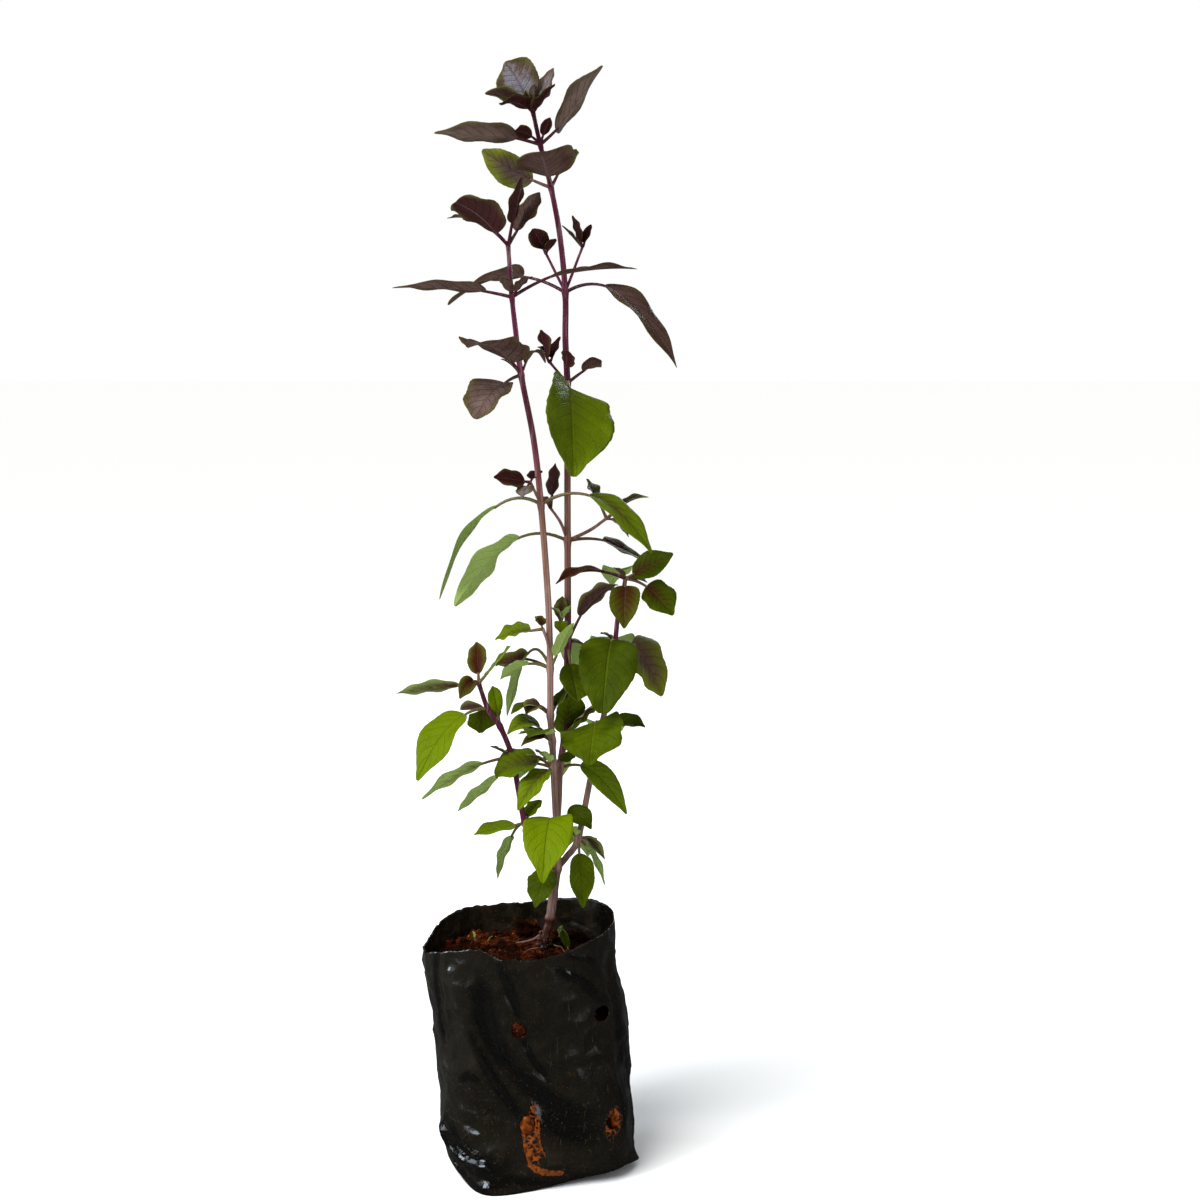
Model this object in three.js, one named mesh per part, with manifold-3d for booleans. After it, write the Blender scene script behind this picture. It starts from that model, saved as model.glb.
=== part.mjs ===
// A purple-stemmed basil plant growing in a black film nursery bag.
// Millimetres, +Z up. X runs to the right and Y away from a viewer in front of the bag.
// The origin is on the bag's underside, below the middle of the bag.
import * as THREE from "three";
import { mergeVertices } from "three/addons/utils/BufferGeometryUtils.js";
import Module from "manifold-3d";

const wasm = await Module();
wasm.setup();

// Driving dimensions
const bagHeight = 144; // mean height of the open lip above the ground
const lipRiseRight = 5.7; // the lip's right side above that mean, and its left side below it
const lipRiseBack = 6;
const lipSag = 1.5; // the film's extra sag at the front of the lip
const bagHalfWidth = 57;
const bagHalfDepth = 45;
const bagSquareness = 2.4; // superellipse power: 2 is an ellipse, more is boxier
const bagSides = 36; // points in one ring of the bag
const filmThickness = 1;
const gap = 0.3; // clearance between touching pieces
const soilHeight = 132;
const soilLump = 1.6;
const ventRadius = 4.4; // punched drain holes
const ventSides = 14;
const rootDepth = 62; // how far the taproot goes down into the soil
const bladeThickness = 1.6; // at the midrib; a blade thins towards its edges
const bladeFold = 0.22; // how far the edges stand above the midrib, per half width
const toothDepth = 0.1; // share of the half width cut away between two teeth
const stalkRadius = 0.6;
const stemSides = 6;
const bigLeafLength = 24;
const bigLeaf = { stalk: 0.24, bladeSteps: 8 }; // the stalk's usual share, and sections in the blade
const smallLeaf = { stalk: 0.16, bladeSteps: 4 };

const finishes = {
  film: { color: 0x141414, roughness: 0.35, metalness: 0 },
  soil: { color: 0x4a2313, roughness: 0.95, metalness: 0 },
  woodyStem: { color: 0x6b4a45, roughness: 0.6, metalness: 0 },
  purpleLeaf: { color: 0x4a2f33, roughness: 0.55, metalness: 0 },
  greenLeaf: { color: 0x4f7a18, roughness: 0.55, metalness: 0 },
};

// Bag sections from the ground up: height, middle x, middle y, half width, half depth.
// The left bottom corner is folded under, so the base is narrower and lies to the right.
const bagSections = [
  [0, 10, -3, bagHalfWidth - 6, bagHalfDepth],
  [9, 8.5, -3, bagHalfWidth - 2.5, bagHalfDepth + 1.5],
  [28, 5, -2, bagHalfWidth + 1, bagHalfDepth + 1],
  [60, 2.5, -1, bagHalfWidth + 1.5, bagHalfDepth + 1],
  [98, -1.5, 0, bagHalfWidth, bagHalfDepth],
  [126, -5.5, 0, bagHalfWidth - 1, bagHalfDepth - 1],
];
const lipSection = [bagHeight, -7, 0, bagHalfWidth - 1, bagHalfDepth - 1];

// Drain holes, two rows of two through the front and two rows of two through the back:
// x and height of each hole's middle.
const frontVents = [[-5, 96], [43, 101], [1, 43], [50, 38]];
const backVents = [[-38, 98], [14, 101], [-32, 45], [20, 46]];

// One stem each: "sits" names the node, "thick" is the radius at the foot and at the tip.
// A joint is a point that the stem passes through; leaves grow from it.
// A leaf is its tip, as x, y, z from the joint, then how far its middle stands above
// the straight line to the tip, its width, its turn about the midrib in degrees,
// and the share of its length that is stalk, where that isn't the usual one.
const stems = [
  {
    sits: "main_stem", thick: [0.9, 3.4],
    joints: [
      { at: [6, 1, soilHeight - rootDepth] },
      { at: [8, 0, 105] },
      { at: [10, 0, 134] },
      { at: [12, 0, 149] },
      { at: [14, 0, 164] },
      { at: [16, 0, 181], leaves: [[-13, -28, -17, 8, 20, 0]] },
      { at: [16, -1, 194], leaves: [[4, 36, -12, 12, 26, 0]] },
      { at: [16, -1, 203], leaves: [[-8, -40, -22, 20, 31, 0], [24, -10, 4, 12, 24, 40]] },
      { at: [16, -1, 211] },
    ],
  },
  {
    sits: "tall_left_stem", thick: [2.5, 1.1],
    joints: [
      { at: [16, -1.5, 209] },
      { at: [15, -4, 223] },
      {
        at: [14, -6, 243],
        leaves: [[-20, -18, -20, 9, 22, -15], [-34, -12, -5, 9, 26, -30], [-21, 33, -14, 8, 22, 0]],
      },
      {
        at: [14, -8, 259],
        leaves: [[-26, -10, 6, 9, 19, -20], [-21, -22, 1, 8, 18, -15], [-12, -24, 6, 6, 15, 0]],
      },
      { at: [13, -10, 275], leaves: [[-26, 0, 0, 8, 14, 20], [-13, -8, 3, 5, 10, 0]] },
      {
        at: [13, -12, 303],
        leaves: [
          [-36, 9, 1, 10, 17, -35, 0.3], [-29, -18, -11, 10, 17, 20, 0.3],
          [-26, 14, -32, 15, 12, 0, 0.45], [14, -14, 29, 1, 12, 0],
        ],
      },
      { at: [12, -14, 343] },
      {
        at: [8, -14, 399],
        leaves: [[-60, 22, -56, 14, 19, 40, 0.36], [61, -16, -28, 18, 24, 40, 0.42]],
      },
      { at: [4, -14, 436] },
      {
        at: [-3, -14, 473],
        leaves: [
          [-27, -10, -26, 9, 27, -40, 0.2], [-36, -26, 14, 6, 28, 30], [14, 6, 6, 10, 12, 0],
          [-12, 4, 9, 2, 8, 0],
        ],
      },
      { at: [-6, -14, 498] },
      {
        at: [-8, -14, 517],
        leaves: [
          [-66, -30, 5, 4, 22, 15, 0.3], [72, 14, 16, 8, 20, 0, 0.3], [-5, -8, 11, 2, 9, 0],
          [12, -8, 11, 2, 10, 0],
        ],
      },
      {
        at: [-10, -14, 546],
        leaves: [
          [-28, -20, 22, 4, 24, 35], [20, 18, 29, 0, 18, 20], [8, -12, 35, 0, 14, 25],
          [-36, 20, 16, 6, 17, 0],
        ],
      },
    ],
  },
  {
    sits: "tall_left_stem", thick: [1.1, 0.8],
    joints: [
      { at: [13, -12, 303] },
      { at: [12, -14, 317] },
      { at: [9, -16, 327], leaves: [[-29, -4, -6, 4, 18, -30], [-4, 4, 7, 1, 8, 0]] },
    ],
  },
  {
    sits: "tall_left_stem", thick: [0.9, 0.7],
    joints: [
      { at: [8, -14, 399] },
      {
        at: [2, -16, 412],
        leaves: [[-21, -8, 5, 4, 17, -45], [-9, -10, -7, 4, 11, 0], [5, 8, 6, 1, 9, 0]],
      },
    ],
  },
  {
    sits: "tall_right_stem", thick: [2.5, 0.9],
    joints: [
      { at: [16.5, 0, 209] },
      { at: [18, 2, 222] },
      { at: [19, 3, 241], leaves: [[41, -8, -27, 4, 21, 30], [7, 36, -18, 8, 22, 0]] },
      { at: [21, 4, 261], leaves: [[9, -8, 28, 1, 20, 0, 0.1]] },
      { at: [22, 5, 287] },
      {
        at: [23, 6, 316],
        leaves: [
          [31, -4, 37, 9, 20, 45, 0.22], [14, 4, -8, 3, 10, 0], [11, -18, -41, 5, 27, 0, 0.35],
          [-8, 34, -30, 10, 24, 0],
        ],
      },
      { at: [23, 6, 347] },
      {
        at: [23, 6, 376],
        leaves: [[-64, -28, -36, 18, 20, 40, 0.37], [46, 22, -14, 6, 14, 30, 0.45]],
      },
      { at: [23, 5, 418] },
      {
        at: [23, 4, 468],
        leaves: [
          [0, -38, -50, 18, 38, 0, 0.22], [4, 37, -44, 16, 34, 0, 0.22], [-1, -6, 22, 1, 10, 0],
          [17, 4, 14, 3, 11, 0],
        ],
      },
      { at: [22, 4, 493] },
      { at: [22, 3, 520], leaves: [[-74, 28, -6, 15, 22, 20, 0.3], [64, -24, -44, 21, 20, 20, 0.35]] },
      { at: [19, 1, 552] },
      {
        at: [14, 0, 579],
        leaves: [[-37, 20, 23, 2, 25, 55, 0.2], [-3, -42, 16, 3, 33, 0], [14, 24, 24, 2, 16, 0]],
      },
      {
        at: [8, -2, 603],
        leaves: [
          [-58, -22, 7, 3, 19, 25], [37, 14, 44, 3, 18, -30], [-15, -10, 9, 1, 12, 0],
          [5, -8, 14, 0, 10, 0],
        ],
      },
      {
        at: [4, -4, 621],
        leaves: [
          [-10, 8, 31, 0, 26, 0], [-28, -12, 7, 2, 12, 20], [13, 6, 27, 0, 12, 30],
          [11, -14, 11, 0, 13, 0], [-16, -18, 1, 2, 12, 0],
        ],
      },
    ],
  },
  {
    sits: "tall_right_stem", thick: [1, 0.7],
    joints: [
      { at: [23, 6, 316] },
      {
        at: [19, 0, 329],
        leaves: [
          [1, 2, 15, 0, 9, 0], [-5, -4, 9, 1, 8, 0], [6, -4, 10, 1, 8, 0], [0, -8, -6, 2, 8, 0],
        ],
      },
    ],
  },
  {
    sits: "tall_right_stem", thick: [1, 0.7],
    joints: [
      { at: [23, 6, 376] },
      { at: [19, 2, 387] },
      { at: [13, 0, 396], leaves: [[3, 2, 27, 1, 13, 0], [-6, -6, 7, 1, 8, 0]] },
    ],
  },
  {
    sits: "tall_right_stem", thick: [1.1, 0.8],
    joints: [
      { at: [23, 6, 376] },
      { at: [36, 8, 382] },
      {
        at: [46, 9, 389],
        leaves: [[-12, 4, 23, 1, 20, 0], [25, 4, 12, 3, 18, 0], [13, -6, -11, 3, 9, 0]],
      },
    ],
  },
  {
    sits: "tall_right_stem", thick: [0.9, 0.7],
    joints: [
      { at: [23, 4, 468] },
      { at: [13, 2, 480], leaves: [[-3, -2, 18, 0, 11, 0], [6, 4, 15, 0, 9, 0], [-7, 4, 9, 2, 9, 0]] },
    ],
  },
  {
    sits: "tall_right_stem", thick: [0.9, 0.7],
    joints: [
      { at: [22, 3, 520] },
      { at: [11, 0, 542], leaves: [[-9, 6, 15, 0, 14, 0], [7, -8, 9, 0, 12, 0]] },
    ],
  },
  {
    sits: "tall_right_stem", thick: [0.9, 0.7],
    joints: [
      { at: [22, 3, 520] },
      {
        at: [32, 4, 546],
        leaves: [[-6, 2, 18, 0, 12, 0], [-12, -4, 12, 0, 6, 0], [5, 4, 13, 0, 9, 0]],
      },
    ],
  },
  {
    sits: "lower_right_branch", thick: [2, 0.9],
    joints: [
      { at: [16.5, 0, 181] },
      { at: [22, 2, 187] },
      {
        at: [29, 4, 198],
        leaves: [
          [4, -20, -38, 6, 17, 0], [14, 6, -16, 7, 10, 0], [6, 26, -18, 5, 15, 0],
          [16, 14, -33, 5, 8, 0], [-6, -6, 9, 2, 9, 0],
        ],
      },
      { at: [36, 8, 232] },
      {
        at: [42, 10, 261],
        leaves: [[-12, -40, -11, 6, 25, 0], [24, -12, -9, 8, 22, 30], [6, 36, -12, 8, 24, 0]],
      },
      { at: [49, 10, 293] },
      {
        at: [51, 8, 315],
        leaves: [
          [-6, -34, -39, 17, 38, 0], [28, 8, -35, 13, 33, 20], [-2, 38, -30, 12, 28, 0],
          [-9, -4, 6, 2, 7, 0],
        ],
      },
      { at: [53, 6, 335] },
      {
        at: [57, 4, 354],
        leaves: [
          [-2, -22, -29, 6, 20, 0], [-41, -15, -6, 6, 13, 0], [27, -14, 17, 2, 24, 45, 0.15],
          [-7, -4, 7, 1, 8, 0], [13, -4, -2, 1, 8, 0], [29, 6, -14, 6, 16, 40, 0.2],
          [-8, 28, -8, 8, 20, 0],
        ],
      },
    ],
  },
  {
    sits: "lower_left_branch", thick: [1.8, 0.9],
    joints: [
      { at: [14, 0, 160] },
      { at: [5, 4, 183] },
      {
        at: [-3, 6, 207],
        leaves: [[-31, -12, -6, 4, 20, -30, 0.14], [-17, 8, -38, 9, 12, 40], [10, 8, 12, 2, 12, 0]],
      },
      { at: [-7, 4, 230] },
      {
        at: [-10, 2, 248],
        leaves: [
          [-53, -20, -24, 5, 17, 40, 0.33], [-34, 20, -38, 4, 15, 45, 0.3], [-13, -4, 7, 1, 7, 0],
        ],
      },
      { at: [-17, -2, 267], leaves: [[-4, 12, 24, 0, 15, 0]] },
      {
        at: [-24, -4, 278],
        leaves: [[-38, -24, -43, 12, 27, 50, 0.26], [-18, 24, -5, 5, 18, -20], [0, 12, -22, 8, 24, 0]],
      },
      {
        at: [-29, -8, 294],
        leaves: [
          [-1, 6, 23, 0, 12, 0], [-10, -14, -7, 3, 11, 0], [-50, 12, -5, 2, 15, 35, 0.2],
          [20, -19, 25, 0, 16, 30],
        ],
      },
    ],
  },
];

// A closed surface through rings of points with equal counts. A ring of one point closes an end.
function loft(rings) {
  const points = [];
  const faces = [];
  const starts = rings.map((ring) => {
    points.push(...ring);
    return points.length - ring.length;
  });
  const fan = (ring, apex, flip) => {
    const n = rings[ring].length;
    for (let i = 0; i < n; i++) {
      const a = starts[ring] + i;
      const b = starts[ring] + ((i + 1) % n);
      faces.push(...(flip ? [b, a, apex] : [a, b, apex]));
    }
  };
  for (let r = 0; r + 1 < rings.length; r++) {
    if (rings[r].length === 1) fan(r + 1, starts[r], true);
    else if (rings[r + 1].length === 1) fan(r, starts[r + 1], false);
    else {
      const n = rings[r].length;
      for (let i = 0; i < n; i++) {
        const j = (i + 1) % n;
        const [a, b] = [starts[r] + i, starts[r] + j];
        const [c, d] = [starts[r + 1] + i, starts[r + 1] + j];
        faces.push(...(i % 2 ? [a, b, c, b, d, c] : [a, b, d, a, d, c])); // alike on both faces of a blade
      }
    }
  }
  return solid(new THREE.BufferGeometry().setFromPoints(points).setIndex(faces));
}

// A closed geometry as a manifold solid.
function solid(geometry) {
  const bare = new THREE.BufferGeometry();
  bare.setAttribute("position", geometry.getAttribute("position"));
  bare.setIndex(geometry.getIndex());
  const merged = mergeVertices(bare, 1e-4);
  return new wasm.Manifold(
    new wasm.Mesh({
      numProp: 3,
      vertProperties: new Float32Array(merged.getAttribute("position").array),
      triVerts: new Uint32Array(merged.getIndex().array),
    }),
  );
}

// A solid as a named mesh. Only its largest body is kept: a scrap cut loose is dropped.
function meshOf(name, made, finish) {
  const body = made.decompose().sort((a, b) => b.volume() - a.volume())[0];
  const { vertProperties, triVerts } = body.simplify(0.01).getMesh();
  const geometry = new THREE.BufferGeometry()
    .setAttribute("position", new THREE.BufferAttribute(vertProperties, 3))
    .setIndex(new THREE.BufferAttribute(triVerts, 1));
  geometry.computeVertexNormals();
  const mesh = new THREE.Mesh(geometry, new THREE.MeshStandardMaterial(finish));
  mesh.name = name;
  return mesh;
}

// One ring of the bag: a superellipse drawn in by "inset" from the bag's outside.
function bagRing(section, inset, heightAt) {
  const [height, middleX, middleY, halfWidth, halfDepth] = section;
  const ring = [];
  for (let i = 0; i < bagSides; i++) {
    const angle = (i / bagSides) * 2 * Math.PI;
    const [c, s] = [Math.cos(angle), Math.sin(angle)];
    const power = 2 / bagSquareness;
    const x = middleX + (halfWidth - inset) * Math.sign(c) * Math.abs(c) ** power;
    const y = middleY + (halfDepth - inset) * Math.sign(s) * Math.abs(s) ** power;
    ring.push(new THREE.Vector3(x, y, heightAt ? heightAt(angle) : height));
  }
  return ring;
}

// The lip is higher at the back and on the right, and sags at the front.
function lipHeight(angle) {
  const [sagMiddle, sagSpread] = [1.45 * Math.PI, 0.4];
  const sag = Math.exp(-(((angle - sagMiddle) / sagSpread) ** 2));
  return bagHeight + lipRiseRight * Math.cos(angle) + lipRiseBack * Math.sin(angle) - lipSag * sag;
}

// The bag's section at any height below the lip, between the two that are listed.
function bagSectionAt(height) {
  const above = bagSections.findIndex(([listed]) => listed >= height);
  const upper = above < 0 ? lipSection : bagSections[above];
  const lower = above < 0 ? bagSections.at(-1) : bagSections[above - 1];
  const share = (height - lower[0]) / (upper[0] - lower[0]);
  return lower.map((value, i) => THREE.MathUtils.lerp(value, upper[i], share));
}

function drill(x, height, side) {
  const bore = new THREE.CylinderGeometry(ventRadius, ventRadius, bagHalfDepth, ventSides);
  return solid(bore.translate(x, side * bagHalfDepth, height)); // its axis is along Y as made
}

function buildBag() {
  const [, baseX, baseY] = bagSections[0];
  const inside = bagSections.slice(1).map((section) => bagRing(section, filmThickness)).reverse();
  let bag = loft([
    [new THREE.Vector3(baseX, baseY, 0)],
    ...bagSections.map((section) => bagRing(section, 0)),
    bagRing(lipSection, 0, lipHeight),
    bagRing(lipSection, filmThickness, lipHeight),
    ...inside,
    bagRing(bagSectionAt(filmThickness), filmThickness),
    [new THREE.Vector3(baseX, baseY, filmThickness)],
  ]);
  for (const [x, height] of frontVents) bag = bag.subtract(drill(x, height, -1));
  for (const [x, height] of backVents) bag = bag.subtract(drill(x, height, 1));
  return bag;
}

// The soil fills the bag and ends in an uneven top, with a plain hole for the root.
function buildSoil(rootHole) {
  const inset = filmThickness + gap;
  const rim = bagSectionAt(soilHeight - 2);
  const lump = (angle, share) => soilLump * Math.sin(4 * angle + 11 * share) * Math.cos(7 * angle);
  const top = [0.82, 0.6, 0.38, 0.18].map((share) => {
    const section = rim.map((value, i) => (i < 3 ? value : value * share));
    return bagRing(section, 0, (angle) => soilHeight + lump(angle, share));
  });
  const [, baseX, baseY] = bagSectionAt(inset);
  const [, topX, topY] = rim;
  const made = loft([
    [new THREE.Vector3(baseX, baseY, inset)],
    bagRing(bagSectionAt(inset), inset),
    ...bagSections.slice(1).map((section) => bagRing(section, inset)),
    bagRing(rim, inset),
    ...top,
    [new THREE.Vector3(topX, topY, soilHeight + 1)],
  ]);
  return made.subtract(rootHole);
}

// A tube through a stem's joints, "spare" larger all round and at both ends.
function stemTube({ thick, joints }, spare = 0) {
  const points = joints.map(({ at }) => new THREE.Vector3(...at));
  const curve = new THREE.CatmullRomCurve3(points, false, "catmullrom", 0.5);
  const steps = (joints.length - 1) * 2;
  const rings = [];
  for (let k = 0; k <= steps; k++) {
    const t = k / steps;
    const along = curve.getTangent(t);
    const middle = curve.getPoint(t);
    if (k === 0) middle.addScaledVector(along, -spare);
    if (k === steps) middle.addScaledVector(along, spare);
    const across = new THREE.Vector3(0, 1, 0).cross(along).normalize();
    const over = new THREE.Vector3().crossVectors(along, across);
    const radius = THREE.MathUtils.lerp(thick[0], thick[1], taper(thick, t)) + spare;
    const ring = [];
    for (let i = 0; i < stemSides; i++) {
      const angle = (i / stemSides) * 2 * Math.PI;
      const point = middle.clone().addScaledVector(across, radius * Math.cos(angle));
      ring.push(point.addScaledVector(over, radius * Math.sin(angle)));
    }
    if (k === 0) rings.push([middle]);
    rings.push(ring);
    if (k === steps) rings.push([middle]);
  }
  return loft(rings);
}

// The rooted stem swells quickly out of its root; the others taper evenly.
function taper([foot, tip], t) {
  return foot < tip ? t ** 0.4 : t;
}

// Half width of a blade: s runs from 0 at its base to 1 at its tip. Rounded base, pointed tip.
function bladeHalfWidth(s, width, tooth) {
  const [baseRound, tipRound, fullest] = [0.6, 0.65, 0.42]; // fullest is the curve's own highest value
  return ((width / 2) * s ** baseRound * (1 - s) ** tipRound * (1 - toothDepth * tooth)) / fullest;
}

// A leaf: a curve from the joint to the tip, first as a thin stalk, then as a folded, toothed blade.
// Each section has a left edge, the midrib's top, a right edge and the midrib's underside.
function leafSolid(joint, [x, y, z, arch, width, roll, ownStalk]) {
  const root = new THREE.Vector3(...joint);
  const reach = new THREE.Vector3(x, y, z);
  const bend = reach.clone().multiplyScalar(0.5).add(new THREE.Vector3(0, 0, 2 * arch));
  const curve = new THREE.QuadraticBezierCurve3(new THREE.Vector3(), bend, reach);
  const make = reach.length() > bigLeafLength ? bigLeaf : smallLeaf;
  const stalk = ownStalk ?? make.stalk;
  const level = new THREE.Vector3(-y, x, 0).normalize();
  const section = (t, halfWidth, halfThick, lift, turned) => {
    const along = curve.getTangent(t);
    const side = level.clone().applyAxisAngle(along, turned);
    const over = new THREE.Vector3().crossVectors(along, side).normalize();
    const middle = curve.getPoint(t).add(root);
    return [
      middle.clone().addScaledVector(side, halfWidth).addScaledVector(over, lift),
      middle.clone().addScaledVector(over, halfThick),
      middle.clone().addScaledVector(side, -halfWidth).addScaledVector(over, lift),
      middle.clone().addScaledVector(over, -halfThick),
    ];
  };
  const turn = THREE.MathUtils.degToRad(roll);
  const rings = [
    section(0, stalkRadius, stalkRadius, 0, 0),
    section(stalk, stalkRadius, stalkRadius, 0, turn),
  ];
  for (let k = 1; k < make.bladeSteps; k++) {
    const s = k / make.bladeSteps;
    const halfWidth = bladeHalfWidth(s, width, k % 2);
    const t = THREE.MathUtils.lerp(stalk, 1, s);
    rings.push(section(t, halfWidth, bladeThickness / 2, bladeFold * halfWidth, turn));
  }
  return loft([[root], ...rings, [curve.getPoint(1).add(root)]]);
}

// All stems and leaves that sit in one node, fused.
function leafyStem(name) {
  const parts = [];
  for (const stem of stems.filter(({ sits }) => sits === name)) {
    parts.push(stemTube(stem));
    for (const { at, leaves = [] } of stem.joints) parts.push(...leaves.map((leaf) => leafSolid(at, leaf)));
  }
  return wasm.Manifold.union(parts);
}

const firstOf = (name) => stems.find(({ sits }) => sits === name);
const mainStem = firstOf("main_stem");
const leftStem = firstOf("tall_left_stem");

const plant = new THREE.Group();
plant.add(meshOf("grow_bag", buildBag(), finishes.film));
plant.add(meshOf("potting_soil", buildSoil(stemTube(mainStem, gap)), finishes.soil));
plant.add(meshOf("main_stem", leafyStem("main_stem"), finishes.woodyStem));

// Where a branch leaves its parent it is cut back to "gap" from the parent's bark.
const branches = [
  ["tall_left_stem", [mainStem], finishes.purpleLeaf],
  ["tall_right_stem", [mainStem, leftStem], finishes.purpleLeaf],
  ["lower_right_branch", [mainStem], finishes.greenLeaf],
  ["lower_left_branch", [mainStem], finishes.greenLeaf],
];
for (const [name, parents, finish] of branches) {
  const cut = parents.reduce((made, parent) => made.subtract(stemTube(parent, gap)), leafyStem(name));
  plant.add(meshOf(name, cut, finish));
}

export default plant;
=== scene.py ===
import math

import bpy
import numpy as np
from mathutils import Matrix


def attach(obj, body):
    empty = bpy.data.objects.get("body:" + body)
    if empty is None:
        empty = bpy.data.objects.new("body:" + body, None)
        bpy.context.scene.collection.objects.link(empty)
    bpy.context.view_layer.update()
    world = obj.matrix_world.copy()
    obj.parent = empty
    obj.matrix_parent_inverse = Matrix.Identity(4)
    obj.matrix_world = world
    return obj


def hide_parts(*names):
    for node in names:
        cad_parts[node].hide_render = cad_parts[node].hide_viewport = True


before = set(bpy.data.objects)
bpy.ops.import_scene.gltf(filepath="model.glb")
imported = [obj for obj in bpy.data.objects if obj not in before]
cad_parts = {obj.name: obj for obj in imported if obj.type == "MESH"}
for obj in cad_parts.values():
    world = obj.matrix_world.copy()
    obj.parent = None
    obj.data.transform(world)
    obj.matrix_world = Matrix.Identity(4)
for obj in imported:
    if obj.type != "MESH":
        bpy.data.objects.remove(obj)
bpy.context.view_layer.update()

mm = 0.001
scene = bpy.context.scene


# Shader nodes

class Value:
    # what a node gives out; + - * and < on it add one more node

    def __init__(self, socket):
        self.socket = socket

    def __add__(self, other):
        return calc("ADD", self, other)

    def __sub__(self, other):
        return calc("SUBTRACT", self, other)

    def __rsub__(self, other):
        return calc("SUBTRACT", other, self)

    def __mul__(self, other):
        return calc("MULTIPLY", self, other)

    def __lt__(self, other):
        return calc("LESS_THAN", self, other)

    def __abs__(self):
        return calc("ABSOLUTE", self)


def feed(socket, value):
    if isinstance(value, Value):
        socket.id_data.links.new(value.socket, socket)
    elif value is not None:
        socket.default_value = value


def add(tree, kind, inputs=None, out=0, **settings):
    made = tree.nodes.new(kind)
    for name, value in settings.items():
        setattr(made, name, value)
    for name, value in (inputs or {}).items():
        feed(made.inputs[name], value)
    return Value(made.outputs[out])


def treeOf(*values):
    return next(value.socket.id_data for value in values if isinstance(value, Value))


def calc(operation, a, b=None, clamp=False):
    return add(treeOf(a, b), "ShaderNodeMath", {0: a, 1: b}, operation=operation, use_clamp=clamp)


def ease(value, low, high, toLow=0.0, toHigh=1.0):
    # a smooth step: toLow below low, toHigh above high
    ends = {"Value": value, "From Min": low, "From Max": high, "To Min": toLow, "To Max": toHigh}
    return add(treeOf(value), "ShaderNodeMapRange", ends, interpolation_type="SMOOTHSTEP")


def blend(share, a, b):
    return add(treeOf(share, a, b), "ShaderNodeMix", {0: share, 6: a, 7: b}, 2, data_type="RGBA")


def coats(colour, *layers):
    # colours laid over one another, each with its share
    for share, over in layers:
        colour = blend(share, colour, over)
    return colour


def noise(where, scale, detail=3.0, rough=0.55, distort=0.0, stretch=None, kind="FBM"):
    if stretch:
        where = add(treeOf(where), "ShaderNodeMapping", {"Vector": where, "Scale": stretch})
    inputs = {"Vector": where, "Scale": scale, "Detail": detail, "Roughness": rough, "Distortion": distort}
    return add(treeOf(where), "ShaderNodeTexNoise", inputs, noise_type=kind)


def cellEdges(where, scale):
    inputs = {"Vector": where, "Scale": scale}
    return add(treeOf(where), "ShaderNodeTexVoronoi", inputs, feature="DISTANCE_TO_EDGE")


def place(tree):
    return add(tree, "ShaderNodeTexCoord", out="Object")


def along(where, axis):
    return add(treeOf(where), "ShaderNodeSeparateXYZ", {"Vector": where}, axis)


def attributes(tree, *names):
    return [add(tree, "ShaderNodeAttribute", out="Fac", attribute_name=name) for name in names]


def relief(height, depth, strength=1.0, under=None):
    inputs = {"Height": height, "Distance": depth, "Strength": strength, "Normal": under}
    return add(treeOf(height), "ShaderNodeBump", inputs)


def rgb(red, green, blue):
    # display colour in 0 to 255 to a linear one
    shares = [value / 255 for value in (red, green, blue)]
    return tuple(s / 12.92 if s < 0.04045 else ((s + 0.055) / 1.055) ** 2.4 for s in shares) + (1.0,)


def newGroup(name, inputs, outputs):
    # inputs with a number or a colour to start from, outputs with their kind
    tree = bpy.data.node_groups.new(name, "ShaderNodeTree")
    for title, value in inputs.items():
        kind = "NodeSocketColor" if isinstance(value, tuple) else "NodeSocketFloat"
        tree.interface.new_socket(title, in_out="INPUT", socket_type=kind).default_value = value
    for title, kind in outputs.items():
        tree.interface.new_socket(title, in_out="OUTPUT", socket_type="NodeSocket" + kind)
    given = {socket.name: Value(socket) for socket in tree.nodes.new("NodeGroupInput").outputs}
    return tree, given, tree.nodes.new("NodeGroupOutput").inputs


def useGroup(tree, group, inputs):
    made = tree.nodes.new("ShaderNodeGroup")
    made.node_tree = group
    for name, value in inputs.items():
        feed(made.inputs[name], value)
    return {socket.name: Value(socket) for socket in made.outputs}


def newFinish(name, **plain):
    # a material, its node tree and its shader's sockets, with the plain values set
    finish = bpy.data.materials.new(name)
    finish.use_nodes = True
    skin = finish.node_tree.nodes["Principled BSDF"].inputs
    sockets = {"shine": "Specular IOR Level", "rough": "Roughness", "coat": "Coat Weight",
               "coatRough": "Coat Roughness"}
    for key, value in plain.items():
        skin[sockets[key]].default_value = value
    return finish, finish.node_tree, skin


def makeGrit():
    # fine dust, larger smears and bright specks, used on film, soil and bark
    outputs = {"Dust": "Float", "Smear": "Float", "Speck": "Float", "Height": "Float"}
    tree, given, result = newGroup("grit", {"Size": 1.0, "Specks": 0.5}, outputs)
    where = add(tree, "ShaderNodeVectorMath", {0: place(tree), "Scale": given["Size"]}, operation="SCALE")
    dust = noise(where, 900, 2, 0.6)
    spots = add(tree, "ShaderNodeTexVoronoi", {"Vector": where, "Scale": 420})
    speck = spots < given["Specks"] * 0.36 * ease(noise(where, 90, 2), 0.45, 0.75)
    feed(result["Dust"], dust)
    feed(result["Smear"], noise(where, 60, 5, 0.6, 0.6))
    feed(result["Speck"], speck)
    feed(result["Height"], dust * 0.4 + speck * 0.8)
    return tree


grit = makeGrit()


# Camera, floor and light

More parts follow.
